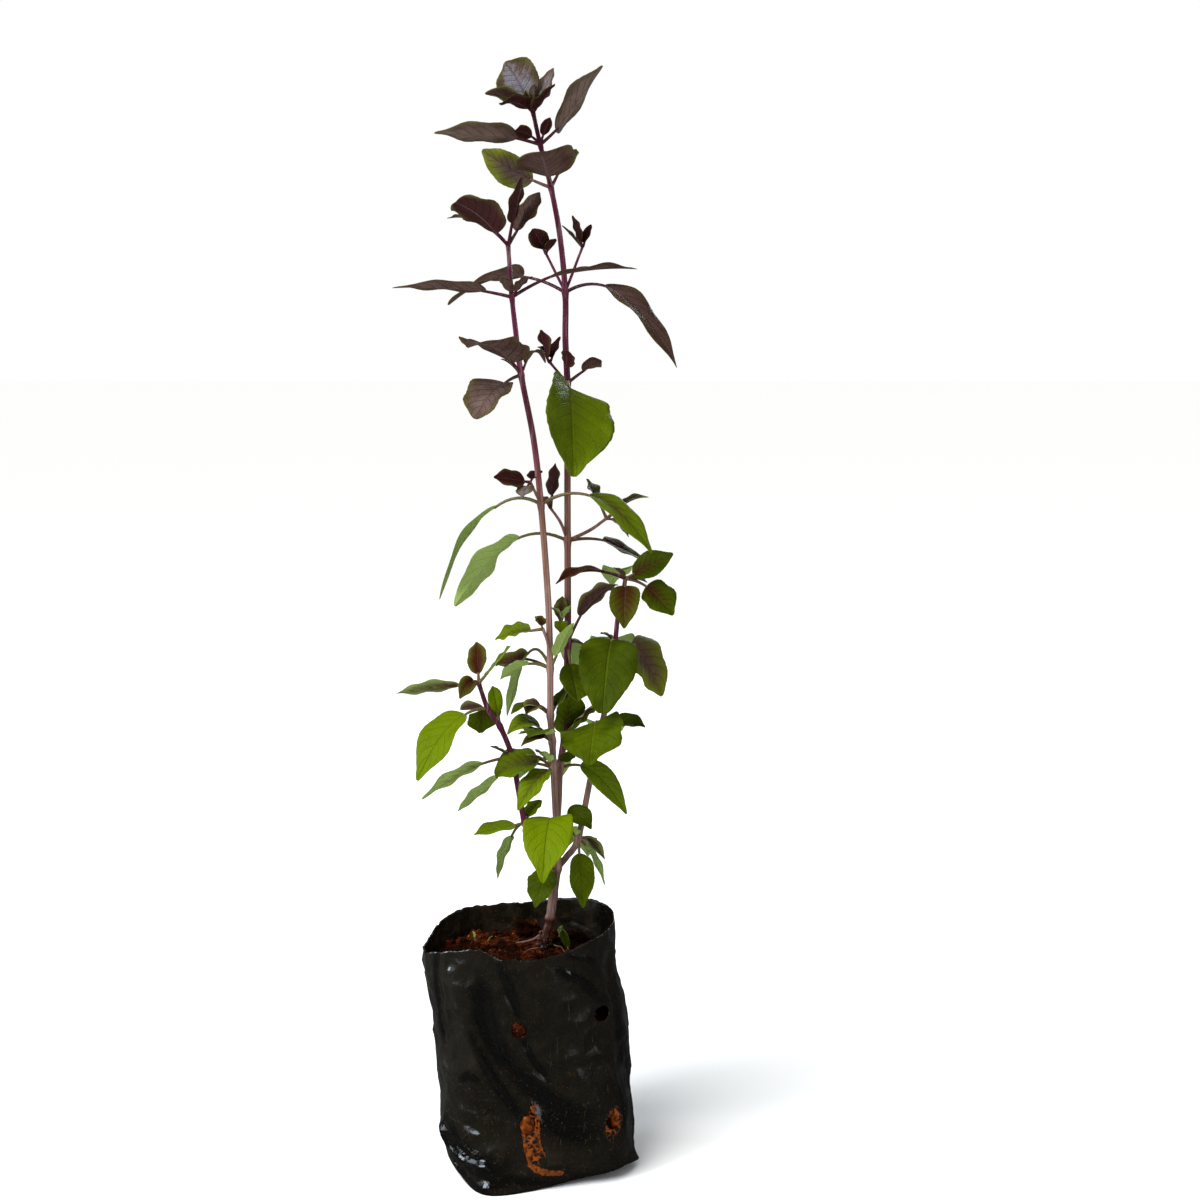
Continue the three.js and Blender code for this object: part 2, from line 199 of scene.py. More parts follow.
photoView = {
    "place": (0.042, -1.150, 0.487),
    "tiltDown": 7.2,  # degrees below level
    "lens": 59.37,
    "sensor": 36,
}
studio = {
    "floorSize": 60.0,
    "floorColour": (0.95, 0.95, 0.94, 1),
    "floorBounce": (0.72, 0.72, 0.7, 1),  # what it throws back on the plant
    "floorGloss": (0.05, 0.05, 0.05, 1),  # how it shows in shiny surfaces
    "room": (1.0, 0.32, 0.06),  # how bright the white room is to the camera, to matt and to glossy surfaces
    "daylight": 3.08,  # an even soft light from above and the left
    "daylightFrom": (-0.5, -0.62, 1.0),
    "daylightSpread": 34.0,
    "boxAim": (0, 0, 0.2),
    "boxes": {  # place, width, height, watts, colour
        "windowBox": ((-1.5, -1.2, 1.25), 0.5, 1.1, 28, (0.8, 0.9, 1.0)),
        "fillBox": ((1.6, -1.3, 0.9), 0.4, 0.9, 5, (0.86, 0.92, 1.0)),
        "sideBox": ((-2.0, 0.1, 1.1), 0.6, 1.2, 12, (0.8, 0.9, 1.0)),
        "backBox": ((0.8, 1.9, 1.2), 0.5, 1.2, 14, (0.86, 0.92, 1.0)),
    },
}


def addThing(name, data, where):
    thing = bpy.data.objects.new(name, data)
    thing.location = where
    scene.collection.objects.link(thing)
    return thing


def aimAt(thing, target):
    way = [t - p for t, p in zip(target, thing.location)]
    flat = math.hypot(way[0], way[1])
    thing.rotation_euler = (math.atan2(flat, -way[2]), 0, math.atan2(way[1], way[0]) - math.pi / 2)


def addCamera():
    camera = addThing("photoCamera", bpy.data.cameras.new("photoCamera"), photoView["place"])
    camera.rotation_euler = (math.radians(90 - photoView["tiltDown"]), 0, 0)
    camera.data.lens = photoView["lens"]
    camera.data.sensor_width = photoView["sensor"]
    scene.camera = camera


def addLights():
    for name, (where, wide, high, watts, colour) in studio["boxes"].items():
        lamp = bpy.data.lights.new(name, "AREA")
        lamp.shape = "RECTANGLE"
        lamp.size = wide
        lamp.size_y = high
        lamp.energy = watts
        lamp.color = colour
        aimAt(addThing(name, lamp, where), studio["boxAim"])
    day = bpy.data.lights.new("daylight", "SUN")
    day.energy = studio["daylight"]
    day.angle = math.radians(studio["daylightSpread"])
    sun = addThing("daylight", day, studio["daylightFrom"])
    aimAt(sun, (0, 0, 0))
    sun.visible_glossy = False  # the glints come from the boxes


def paleRoom():
    scene.world = bpy.data.worlds.new("paleRoom")
    scene.world.use_nodes = True
    tree = scene.world.node_tree
    seen, matt, glossy = studio["room"]
    strength = ease(add(tree, "ShaderNodeLightPath", out="Is Glossy Ray"), 0.0, 1.0, matt, glossy)
    strength = ease(add(tree, "ShaderNodeLightPath", out="Is Camera Ray"), 0.0, 1.0, strength, seen)
    feed(tree.nodes["Background"].inputs["Strength"], strength)
    feed(tree.nodes["Background"].inputs["Color"], (1, 1, 1, 1))
    scene.view_settings.view_transform = "Standard"


def paleFloor():
    half = studio["floorSize"] / 2
    mesh = bpy.data.meshes.new("floor")
    corners = [(-half, -half, 0), (half, -half, 0), (half, half, 0), (-half, half, 0)]
    mesh.from_pydata(corners, [], [(0, 1, 2, 3)])
    floor = addThing("floor", mesh, (0, 0, 0))
    paint, tree, skin = newFinish("paleFloor", rough=0.9, shine=0.1)
    glossy = add(tree, "ShaderNodeLightPath", out="Is Glossy Ray")
    seen = add(tree, "ShaderNodeLightPath", out="Is Camera Ray")
    tone = blend(glossy, studio["floorBounce"], studio["floorGloss"])
    feed(skin["Base Color"], blend(seen, tone, studio["floorColour"]))
    mesh.materials.append(paint)


addCamera()
addLights()
paleRoom()
paleFloor()
print("studio: camera, floor and", len(studio["boxes"]) + 1, "lights")


# Meshes, in millimetres

def smoothPath(points, steps):
    # Catmull-Rom: each span is the cubic through its two joints with the slope
    # (next - previous) / 2 at each, the ends being carried on straight
    points = np.asarray(points, float)
    spans = len(points) - 1
    padded = np.vstack([2 * points[0] - points[1], points, 2 * points[-1] - points[-2]])
    t = np.linspace(0, spans, spans * steps + 1)
    span = np.minimum(t.astype(int), spans - 1)
    u = (t - span)[:, None]
    p0, p1, p2, p3 = (padded[span + k] for k in range(4))
    return 0.5 * (2 * p1 + (p2 - p0) * u + (2 * p0 - 5 * p1 + 4 * p2 - p3) * u**2
                  + (3 * p1 - p0 - 3 * p2 + p3) * u**3)


def unit(vectors):
    return vectors / np.maximum(np.linalg.norm(vectors, axis=-1, keepdims=True), 1e-9)


def waves(points, size, seed, count=14):
    # soft noise about -1 to 1: a sum of sines with random directions and phases, "size" apart
    chance = np.random.default_rng(seed)
    ways = unit(chance.normal(size=(count, points.shape[-1])))
    pitch = 2 * np.pi / size * chance.uniform(0.6, 1.7, count)
    phase = chance.uniform(0, 2 * np.pi, count)
    return np.sin(points @ (ways * pitch[:, None]).T + phase).sum(-1) / math.sqrt(count / 2) * 0.6


class Shells:
    # gathers closed surfaces with their point values, to become one mesh

    def __init__(self):
        self.points, self.quads, self.triangles, self.values = [], [], [], []
        self.count = 0

    def put(self, points, quads, triangles, **values):
        self.points.append(points)
        self.quads.append(np.asarray(quads, int) + self.count)
        self.triangles.append(np.asarray(triangles, int) + self.count)
        self.values.append({k: np.broadcast_to(v, len(points)) for k, v in values.items()})
        self.count += len(points)

    def loft(self, rings, **values):
        # a skin over rings of points, rows along and columns around, closed with a point at each end;
        # columns run counter-clockwise about the way the rows go, so that faces look out
        rows, columns, _ = rings.shape
        ends = np.stack([rings[0].mean(0), rings[-1].mean(0)])
        r, c = np.meshgrid(np.arange(rows - 1), np.arange(columns), indexing="ij")
        right = (c + 1) % columns
        quads = np.stack([r * columns + c, r * columns + right, (r + 1) * columns + right,
                          (r + 1) * columns + c], -1).reshape(-1, 4)
        c = np.arange(columns)
        right = (c + 1) % columns
        first = rows * columns
        last = (rows - 1) * columns
        fans = np.vstack([np.stack([np.full(columns, first), right, c], -1),
                          np.stack([last + c, last + right, np.full(columns, first + 1)], -1)])
        closed = {}
        for name, value in values.items():
            value = np.asarray(value, float)
            if value.ndim == 2:
                value = np.concatenate([value.ravel(), [value[0].mean(), value[-1].mean()]])
            closed[name] = value
        self.put(np.vstack([rings.reshape(-1, 3), ends]), quads, fans, **closed)

    def piece(self, name, node, slot, finish):
        points = np.vstack(self.points) * mm
        quads = np.vstack(self.quads)
        triangles = np.vstack(self.triangles)
        corners = np.concatenate([quads.ravel(), triangles.ravel()])
        starts = np.concatenate([np.arange(len(quads)) * 4, quads.size + np.arange(len(triangles)) * 3])
        mesh = bpy.data.meshes.new(name)
        mesh.vertices.add(len(points))
        mesh.vertices.foreach_set("co", points.ravel())
        mesh.loops.add(len(corners))
        mesh.loops.foreach_set("vertex_index", corners)
        mesh.polygons.add(len(starts))
        mesh.polygons.foreach_set("loop_start", starts)
        mesh.update(calc_edges=True)
        mesh.validate()
        mesh.shade_smooth()
        for key in self.values[0]:
            if key not in ("mapX", "mapY"):
                layer = mesh.attributes.new(key, "FLOAT", "POINT")
                layer.data.foreach_set("value", np.concatenate([v[key] for v in self.values]))
        if "mapX" in self.values[0]:
            flat = np.stack([np.concatenate([v[k] for v in self.values]) for k in ("mapX", "mapY")], -1)
            layer = mesh.uv_layers.new(name="map")
            layer.uv.foreach_set("vector", flat[corners].ravel())
        mesh.materials.append(finish)
        piece = bpy.data.objects.new(name, mesh)
        scene.collection.objects.link(piece)
        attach(piece, "root")
        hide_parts(node)
        print(f"{name}: {2 * len(quads) + len(triangles)} triangles")


def tubeRings(path, radius, sides, ribs=0.0, reference=(0, 1, 0)):
    # circles about a path: the middle + radius * (across cos a + over sin a), with across
    # square to the path and to the reference; ribs makes the section slightly four-cornered
    along = unit(np.gradient(path, axis=0))
    across = unit(np.cross(np.asarray(reference, float), along))
    over = np.cross(along, across)
    angle = np.arange(sides) / sides * 2 * np.pi
    reach = np.asarray(radius)[:, None] * (1 - ribs * np.cos(4 * angle))
    turn = across[:, None] * np.cos(angle)[:, None] + over[:, None] * np.sin(angle)[:, None]
    return path[:, None] + turn * reach[..., None]


def lumpRings(middle, radii, rows, columns, roughness, seed, wave=4.0):
    # an ellipsoid, radii * (cos a sin b, sin a sin b, -cos b), swollen by soft noise
    b = np.linspace(0.12, np.pi - 0.12, rows)[:, None]
    a = np.arange(columns)[None] / columns * 2 * np.pi
    ball = np.stack([np.cos(a) * np.sin(b), np.sin(a) * np.sin(b), -np.cos(b) + 0 * a], -1)
    shape = ball * np.asarray(radii, float)
    swell = 1 + roughness * waves(shape + seed * 7.1, wave, seed)
    return np.asarray(middle, float) + shape * swell[..., None]


# The film bag

bag = {
    "squareness": 2.4,
    "columns": 320,
    "frontPace": 1.6,  # how much closer the columns are in the front half
    "rows": 142,
    "film": 0.8,  # thickness; the real film is thinner
    # height, middle x, middle y, half width, half depth
    "sections": [(0, 10, -3, 51, 45), (9, 8.5, -3, 54.5, 46.5), (28, 4, -2, 59, 46),
                 (60, 2.5, -1, 58.5, 46), (98, -1.5, 0, 57, 45), (126, -6.7, 0, 57.2, 44),
                 (160, -9.5, 0, 58, 44)],
    # degrees around from the right, height of the lip there
    "lip": [(0, 148.5), (14, 151.5), (33, 152), (42, 152.5), (57, 152), (80, 148.8), (90, 147),
            (105, 146), (120, 146), (133, 144.3), (145, 140), (162, 135), (180, 132.5), (200, 134),
            (216, 137.5), (232, 140.4), (254, 143.4), (259, 139.6), (265, 137.6), (272, 137),
            (283, 138.2), (300, 141.8), (317, 145.5), (352, 148.2)],
    # degrees around, how far the base's edge is lifted off the ground
    "lift": [(0, 3), (60, 1), (120, 0), (240, 0), (262, 0.4), (285, 2.5), (310, 5.5), (335, 6)],
    # corners of the folded base: x, y, how far they stand out in x and y, spread around and in height
    "corners": [(-23, -42, -3, -12, 15, 15), (60, -10, 5, 1, 7, 7), (-30, 40, -4, 5, 14, 16),
                (30, -46, 0, 9, 16, 12), (-52, -24, -2.5, -2, 10, 40)],
    "frontVents": [(-5, 96), (43, 101), (0, 40.5), (50, 38)],
    "backVents": [(-38, 98), (14, 101), (-32, 45), (20, 46)],
    "ventRadius": 4.2,
    # creases of the front: depth (out is plus), width, then x and height of the points they run through
    "frontCreases": [
        (3.4, 6.0, [(-43, 126), (-40, 106), (-33, 92), (-21.6, 71.5), (-5, 44)]),
        (-4.2, 7.5, [(-26, 128), (-25, 101), (-18, 84), (-9, 70), (0, 56), (14, 46), (35, 41)]),
        (2.2, 3.2, [(-13, 100), (-15, 82), (-4, 74), (8, 66), (22, 58), (40, 46)]),
        (-1.8, 2.6, [(-20.2, 139), (-13, 120), (-5, 104)]),
        (1.2, 1.6, [(-15, 139), (-8, 120), (-1, 106)]),
        (-1.3, 1.6, [(-3, 91), (1, 82), (8, 69.5), (16, 62)]),
        (1.2, 1.4, [(-22, 76), (-17, 80), (-13, 84)]),
        (-1.6, 2.4, [(-31, 86), (-22, 66), (-8, 46)]),
        (2.6, 1.3, [(-52, 30), (-46, 20.5), (-36, 15), (-20, 15)]),
        (-1.6, 1.2, [(-50, 33), (-43, 24), (-33, 18.5), (-20, 18)]),
        (1.2, 1.0, [(-46, 30), (-38, 25), (-30, 20), (-22, 16)]),
        (-2.6, 3.2, [(-44, 14), (-34, 7), (-13, 8), (10, 4)]),
        (2.4, 1.5, [(-42, 11), (-36, 4), (-28, 0.5)]),
        (1.7, 3.6, [(-46, 52), (-40, 46), (-34, 44)]),
        (1.4, 2.8, [(-34, 46), (-27, 42), (-18, 40)]),
        (-1.2, 2.2, [(-48, 40), (-38, 38), (-26, 33)]),
        (1.1, 1.1, [(25, 139), (33, 136), (40, 132)]),
        (1.6, 1.8, [(22, 129), (30, 124), (38, 116), (45, 108)]),
        (-1.2, 1.6, [(24, 124), (34, 114), (41, 104)]),
        (-2.2, 1.5, [(-54, 139), (-53, 110), (-50, 82)]),
        (1.5, 1.1, [(-51, 139), (-50, 112), (-47.5, 86)]),
        (1.3, 1.5, [(-48.5, 138), (-47, 112), (-45, 92)]),
        (1.4, 2.6, [(-39, 122), (-34, 120), (-28, 121)]),
        (1.2, 2.0, [(-44, 106), (-38, 107), (-32, 103)]),
        (1.1, 1.6, [(-46, 92), (-40, 97), (-34, 96)]),
        (-1.8, 2.4, [(48, 144), (49, 118), (53, 80)]),
        (1.2, 2.0, [(-50, 70), (-38, 58), (-24, 50)]),
    ],
    # where the film is wet: glossier under a coat, and painted black for the shade in its dark valleys and
    # creases: width, then x and height along the middle
    "wetAndShadePatches": [
        (7.0, [(-27, 118), (-25, 102), (-19, 88), (-11, 76)]),
        (6.0, [(-9, 74), (0, 64), (14, 52), (34, 43)]),
        (9.0, [(6, 44), (22, 38), (36, 32)]),
        (3.4, [(-33, 92), (-22, 71), (-6, 46)]),
        (2.6, [(-16, 134), (-10, 120), (-5, 106)]),
        (3.0, [(-30, 5), (-12, 8), (8, 6)]),
        (2.0, [(-2, 90), (3, 79), (12, 66)]),
        (4.0, [(52, 140), (54, 100), (58, 50), (60, 12)]),
        (8.0, [(-54, 34), (-45, 24), (-33, 15), (-18, 13)]),
        (4.0, [(-44, 12), (-36, 3), (-24, 0)]),
        (2.6, [(18, 131), (30, 124), (38, 115), (45, 107)]),
        (1.8, [(24, 139), (33, 136), (41, 131)]),
        (2.0, [(-54, 138), (-53, 112), (-50, 84)]),
        (2.4, [(-39, 64), (-35, 68), (-30, 66)]),
    ],
    "looseCreases": 110,
    # wet orange soil under the drain holes: how solid, width, then x and height along the middle
    "mudRuns": [
        (1.0, 4.6, [(-0.5, 41), (-0.2, 39.5)]),
        (0.0, 4.6, [(3.6, 44), (2.6, 33), (3.2, 26), (4.2, 19)]),
        (0.0, 2.4, [(2.6, 46), (4.5, 51)]),
        (1.0, 0.7, [(-3.2, 38), (-2.2, 32), (-1.4, 25), (1.2, 18), (2.5, 16)]),
        (1.0, 0.6, [(6.6, 42), (6.0, 34), (7.4, 27), (10.5, 21)]),
        (1.0, 1.9, [(1.4, 17.2), (5, 14.2), (10.5, 12.2), (15, 11.0), (19.5, 10.2)]),
        (0.0, 5.0, [(50, 42), (50, 36), (49, 31)]),
        (1.0, 4.2, [(50, 39), (50, 37.5)]),
    ],
}
bagPower = 2 / bag["squareness"]
bagTable = np.array(bag["sections"], float)


def roundTable(pairs):
    # values given at a few places around, smoothed and repeated past both ends
    degrees, values = np.array(pairs, float).T
    dense = np.arange(-360, 720)
    full = np.interp(dense, np.concatenate([degrees - 360, degrees, degrees + 360]), np.tile(values, 3))
    spread = np.exp(-0.5 * (np.arange(-9, 10) / 2.2) ** 2)
    soft = np.convolve(full, spread / spread.sum(), "same")
    return lambda angle: np.interp(np.degrees(angle), dense, soft)


lipAt = roundTable(bag["lip"])
liftAt = roundTable(bag["lift"])


def bagOutline(angle, height, inset):
    # superellipse: middle + half * sign(cos) |cos|^power, in x, and the same with sin in y
    x0, y0, wide, deep = (np.interp(height, bagTable[:, 0], bagTable[:, k]) for k in (1, 2, 3, 4))
    c, s = np.cos(angle), np.sin(angle)
    x = x0 + (wide - inset) * np.sign(c) * np.abs(c) ** bagPower
    y = y0 + (deep - inset) * np.sign(s) * np.abs(s) ** bagPower
    outX = np.sign(c) * np.abs(c) ** (2 - bagPower) / wide
    outY = np.sign(s) * np.abs(s) ** (2 - bagPower) / deep
    return x, y, unit(np.stack([outX, outY], -1))


roundAngle = np.linspace(0, 2 * np.pi, 3601)
outlineX, outlineY, _ = bagOutline(roundAngle, 80.0, 0)
steps = np.hypot(np.diff(outlineX), np.diff(outlineY))
roundLength = np.concatenate([[0], np.cumsum(steps)])
roundPace = np.concatenate([[0], np.cumsum(steps * np.where(outlineY[1:] < 0, bag["frontPace"], 1))])


def wallAngles(count):
    # angles that share the length around evenly, closer together in front
    return np.interp(np.arange(count) / count * roundPace[-1], roundPace, roundAngle)


def stroke(u, v, line, width, power=1.15):
    # exp(-(distance to the line / width)^power), fading out at the line's ends
    line = np.asarray(line, float)
    best = np.zeros_like(u)
    total = len(line) - 1
    for k in range(total):
        a, b = line[k], line[k + 1]
        way = b - a
        t = ((u - a[0]) * way[0] + (v - a[1]) * way[1]) / (way @ way)
        held = np.clip(t, 0, 1)
        gap = np.hypot(u - a[0] - held * way[0], v - a[1] - held * way[1])
        place = (k + held) / total
        best = np.maximum(best, np.exp(-(gap / width) ** power) * np.sin(np.pi * (0.1 + 0.8 * place)) ** 0.5)
    return best


def crumple(points, size, seed):
    # sharp creases: 1 - 2 |soft noise| peaks in a line wherever the noise passes nil
    return 1 - 2 * np.abs(waves(points, size, seed, 10))


def atFront(y):
    # 1 / (1 + exp((y + 16) / 3)): 1 on the front of the bag, 0 on its sides and back
    return 1 / (1 + np.exp((y + 16) / 3))


def bagSwell(angle, height, x, y):
    # how far the film stands out from its plain outline: slow bulges, crumples, the folds seen
    # on the front and a scatter of straight creases
    solid = np.stack([x, y, height], -1)
    slanted = np.stack([x * 0.8 + height * 0.6, y, height * 0.4 - x * 0.3], -1)
    swell = 1.4 * waves(solid, 70.0, 3) + 0.8 * crumple(slanted, 44.0, 5) + 0.42 * crumple(solid, 24.0, 6)
    inFront = atFront(y)
    for depth, width, line in bag["frontCreases"]:
        swell = swell + depth * stroke(x, height, line, width) * inFront
    around = np.interp(angle, roundAngle, roundLength)
    length = roundLength[-1]
    chance = np.random.default_rng(12)
    for _ in range(bag["looseCreases"]):
        at = np.array([chance.uniform(0, length), chance.uniform(6, 138)])
        turn = chance.normal(0, 0.75) + (math.pi / 2 if chance.random() < 0.6 else 0)
        reach = chance.uniform(7, 26) * np.array([math.cos(turn), math.sin(turn)])
        bend = chance.normal(0, 3, 2)
        depth = chance.choice([-1, 1]) * chance.uniform(0.4, 1.6)
        width = chance.uniform(0.9, 2.4)
        off = (around - at[0] + length / 2) % length - length / 2
        quiet = 0.72 * inFront
        swell = swell + depth * stroke(off, height - at[1], [-reach, bend, reach], width) * (1 - quiet)
    return swell * np.clip((height + 2) / 12, 0.2, 1)


def bagPoints(angles, share, inset, top=None):
    # the wall at each angle, share 0 at the base and 1 at the lip (or at the height "top")
    angle = np.broadcast_to(angles, (len(share), len(angles)))
    full = lipAt(angle) if top is None else top
    height = share[:, None] * (full + 0 * angle)
    x, y, normal = bagOutline(angle, height, inset)
    swell = bagSwell(angle, height, x, y)
    x = x + normal[..., 0] * swell
    y = y + normal[..., 1] * swell
    for cornerX, cornerY, outX, outY, spread, rise in bag["corners"]:
        push = np.exp(-((x - cornerX) ** 2 + (y - cornerY) ** 2) / (2 * spread**2) - (height / rise) ** 1.4)
        x = x + outX * push
        y = y + outY * push
    lifted = height + liftAt(angle) * np.exp(-height / 10)
    return np.stack([x, y, lifted], -1)


def mudAmount(points, solid):
    # 1 in the middle of a run of wet soil, 0 past its edge, on the front only
    amount = np.zeros(points.shape[:-1])
    for kind, width, line in bag["mudRuns"]:
        if kind == solid:
            amount = np.maximum(amount, stroke(points[..., 0], points[..., 2], line, width, 2.4))
    return amount * atFront(points[..., 1])


def wetAndShadeAmount(points):
    # 1 where the front's film is wet, glossy and painted black for shade, fading at the rim of each patch
    amount = np.zeros(points.shape[:-1])
    for width, line in bag["wetAndShadePatches"]:
        amount = np.maximum(amount, stroke(points[..., 0], points[..., 2], line, width, 3.0))
    return amount * atFront(points[..., 1])


def cutVents(outer, inner, nextOne):
    # drain holes: the cells within the radius go, and the points round them move onto the circle
    rows, columns = outer.shape[:2]
    middle = (outer[:-1] + outer[1:] + outer[:-1][:, nextOne] + outer[1:][:, nextOne]) / 4
    kept = np.ones((rows - 1, columns), bool)
    for side, vents in ((-1, bag["frontVents"]), (1, bag["backVents"])):
        for x, height in vents:
            gap = np.hypot(middle[..., 0] - x, middle[..., 2] - height)
            gone = (gap < bag["ventRadius"]) & (middle[..., 1] * side > 10)
            kept &= ~gone
            # how many of the four cells round each point go
            missing = np.zeros((rows, columns), int)
            for step in (0, 1):
                missing[step:rows - 1 + step] += gone
                missing[step:rows - 1 + step] += np.roll(gone, 1, 1)
            rim = (missing > 0) & (missing < 4)
            wayX, wayZ = outer[..., 0] - x, outer[..., 2] - height
            far = np.maximum(np.hypot(wayX, wayZ), 1e-6)
            torn = bag["ventRadius"] * (1 + 0.05 * np.sin(3 * np.arctan2(wayZ, wayX) + x))
            for wall in (outer, inner):
                wall[..., 0] = np.where(rim, x + wayX / far * torn, wall[..., 0])
                wall[..., 2] = np.where(rim, height + wayZ / far * torn, wall[..., 2])
    return kept


def wallFaces(kept, number, nextOne, shift):
    # both walls, and the cut edge of each hole between them
    a, b = number[:-1], number[:-1][:, nextOne]
    d, c = number[1:], number[1:][:, nextOne]
    faces = [np.stack([a, b, c, d], -1)[kept], np.stack([d, c, b, a], -1)[kept] + shift]
    level = (number[1:-1][:, nextOne], number[1:-1], kept[1:], kept[:-1])
    upright = (a, d, kept, np.roll(kept, 1, 1))
    for one, other, here, there in (level, upright):
        faces.append(np.stack([one, other, other + shift, one + shift], -1)[here & ~there])
        faces.append(np.stack([other, one, one + shift, other + shift], -1)[there & ~here])
    return faces


def buildBag():
    angles = wallAngles(bag["columns"])
    rows, columns = bag["rows"], bag["columns"]
    share = np.linspace(0, 1, rows) ** 0.96
    outer = bagPoints(angles, share, 0)
    inner = bagPoints(angles, share, bag["film"])
    inner[..., 2] = np.maximum(inner[..., 2], bag["film"] + liftAt(angles))
    ragged = 0.35 * waves(outer[-1], 5.0, 21) + 0.2 * waves(outer[-1], 2.0, 22)
    outer[-1, :, 2] += ragged
    inner[-1, :, 2] += ragged
    nextOne = (np.arange(columns) + 1) % columns
    shift = rows * columns
    number = np.arange(shift).reshape(rows, columns)
    inside = number + shift
    faces = wallFaces(cutVents(outer, inner, nextOne), number, nextOne, shift)
    # the lip
    ridge = (outer[-1] + inner[-1]) / 2 + [0, 0, 0.25]
    crest = 2 * shift + np.arange(columns)
    faces.append(np.stack([number[-1], number[-1][nextOne], crest[nextOne], crest], -1))
    faces.append(np.stack([crest, crest[nextOne], inside[-1][nextOne], inside[-1]], -1))
    # the underside and the floor of the bag, rings drawn in to a point
    points = [outer.reshape(-1, 3), inner.reshape(-1, 3), ridge]
    count = 2 * shift + columns
    triangles = []
    for wall, ring, rest, up in ((outer, number[0], 0.0, False), (inner, inside[0], bag["film"], True)):
        centre = np.array([wall[0, :, 0].mean(), wall[0, :, 1].mean(), rest])
        shares = np.array([0.96, 0.9, 0.8, 0.65, 0.45, 0.2])
        rings = centre + (wall[0] - centre) * shares[:, None, None]
        rings[..., 2] = rest + (wall[0, :, 2] - rest) * np.clip(shares[:, None] * 2.2 - 1.2, 0, 1) ** 2
        last = ring
        for k in range(len(shares)):
            here = count + k * columns + np.arange(columns)
            flat = np.stack([last, here, here[nextOne], last[nextOne]], -1)
            faces.append(flat[:, ::-1] if up else flat)
            last = here
        tip = count + len(shares) * columns
        fan = np.stack([last, np.full(columns, tip), last[nextOne]], -1)
        triangles.append(fan[:, ::-1] if up else fan)
        points += [rings.reshape(-1, 3), centre[None]]
        count = tip + 1
    points = np.vstack(points)
    lining = np.zeros(len(points))
    lining[shift:2 * shift] = 1
    made = Shells()
    # the wet values mark the glossy patches that are also painted black for shade
    made.put(points, np.vstack(faces), np.vstack(triangles), mud=mudAmount(points, 1),
             mudNet=mudAmount(points, 0), wet=wetAndShadeAmount(points), lining=lining)
    return made


def blackFilm():
    finish, tree, skin = newFinish("blackFilm", shine=0.26, coatRough=0.06)
    where = place(tree)
    specks = useGroup(tree, grit, {"Size": 1.7, "Specks": 0.5})
    tiny = useGroup(tree, grit, {"Size": 4.2, "Specks": 0.75})
    lining, wetAndShade, mud, net = attributes(tree, "lining", "wet", "mud", "mudNet")
    broad = noise(where, 22, 4, 0.6, 0.8)
    scuff = noise(where, 320, 3, 0.6, 0.5, (1.0, 1.0, 0.25))
    scratches = noise(where, 700, 2, 0.5, 0.2, (1.0, 1.0, 0.06))
    # wet orange soil: solid runs with a frayed edge, and a net of thin lines
    holes = noise(where, 420, 4, 0.65, 0.6)
    thin = ease(net, 0.2, 0.9) * ease(holes, 0.4, 0.56, 0.05, 0.24)
    wet = calc("MAXIMUM", ease((holes - 0.5) * 0.9 + mud, 0.34, 0.42), cellEdges(where, 330) < thin)
    # dry film is a dusty brown grey; the wet patches are glossy and painted black, standing for the shade in
    # the film's dark valleys; crumbs stick low down and on the lining
    dry = calc("SUBTRACT", broad * 1.1 + 0.1, wetAndShade, clamp=True)
    dusty = calc("MULTIPLY", ease(specks["Smear"], 0.42, 0.75), lining * 0.34 + dry * 0.16, clamp=True)
    strewn = calc("MAXIMUM", ease(along(where, "Z"), 0.095, 0.03), lining)
    feed(skin["Base Color"], coats(
        blend(dry, rgb(4, 4, 3), rgb(24, 20, 12)),
        (dusty, rgb(56, 44, 32)),
        (ease(specks["Dust"], 0.6, 0.74) * 0.05, rgb(150, 140, 125)),
        (specks["Speck"] * (strewn * 0.2 + 0.06), rgb(120, 78, 40)),
        (tiny["Speck"] * (strewn * 0.5 + 0.1), rgb(150, 104, 52)),
        (ease(scratches, 0.68, 0.76, 0.0, 0.2), rgb(96, 90, 78)),
        (wet, blend(ease(holes, 0.35, 0.65), rgb(62, 23, 1), rgb(124, 58, 3))),
    ))
    rubbed = ease(scuff, 0.4, 0.75, 0.0, 0.14) * dry
    gloss = ease(dry, 0.0, 0.7, 0.08, 0.27) + rubbed + dusty * 0.35
    feed(skin["Roughness"], calc("ADD", gloss, wet * 0.1, clamp=True))
    # the left side, towards the window, is rubbed shiny
    shiny = ease(along(where, "X"), -0.012, -0.05) * ease(broad, 0.3, 0.62, 0.15, 0.85)
    feed(skin["Coat Weight"], calc("MAXIMUM", wetAndShade * 0.5, shiny) * (1.0 - lining))
    folds = noise(where, 48, 3, 0.5, 0.6, None, "RIDGED_MULTIFRACTAL")
    bumps = folds * 0.3 + noise(where, 150, 4, 0.6, 1.0) * 0.35 + scuff * 0.06
    grains = wet * 1.6 + specks["Height"] * 0.5
    feed(skin["Normal"], relief(grains, 0.0003, 0.6, relief(bumps, 0.003, 0.5)))
    return finish


buildBag().piece("film_bag", "grow_bag", "bag_film", blackFilm())


# The soil

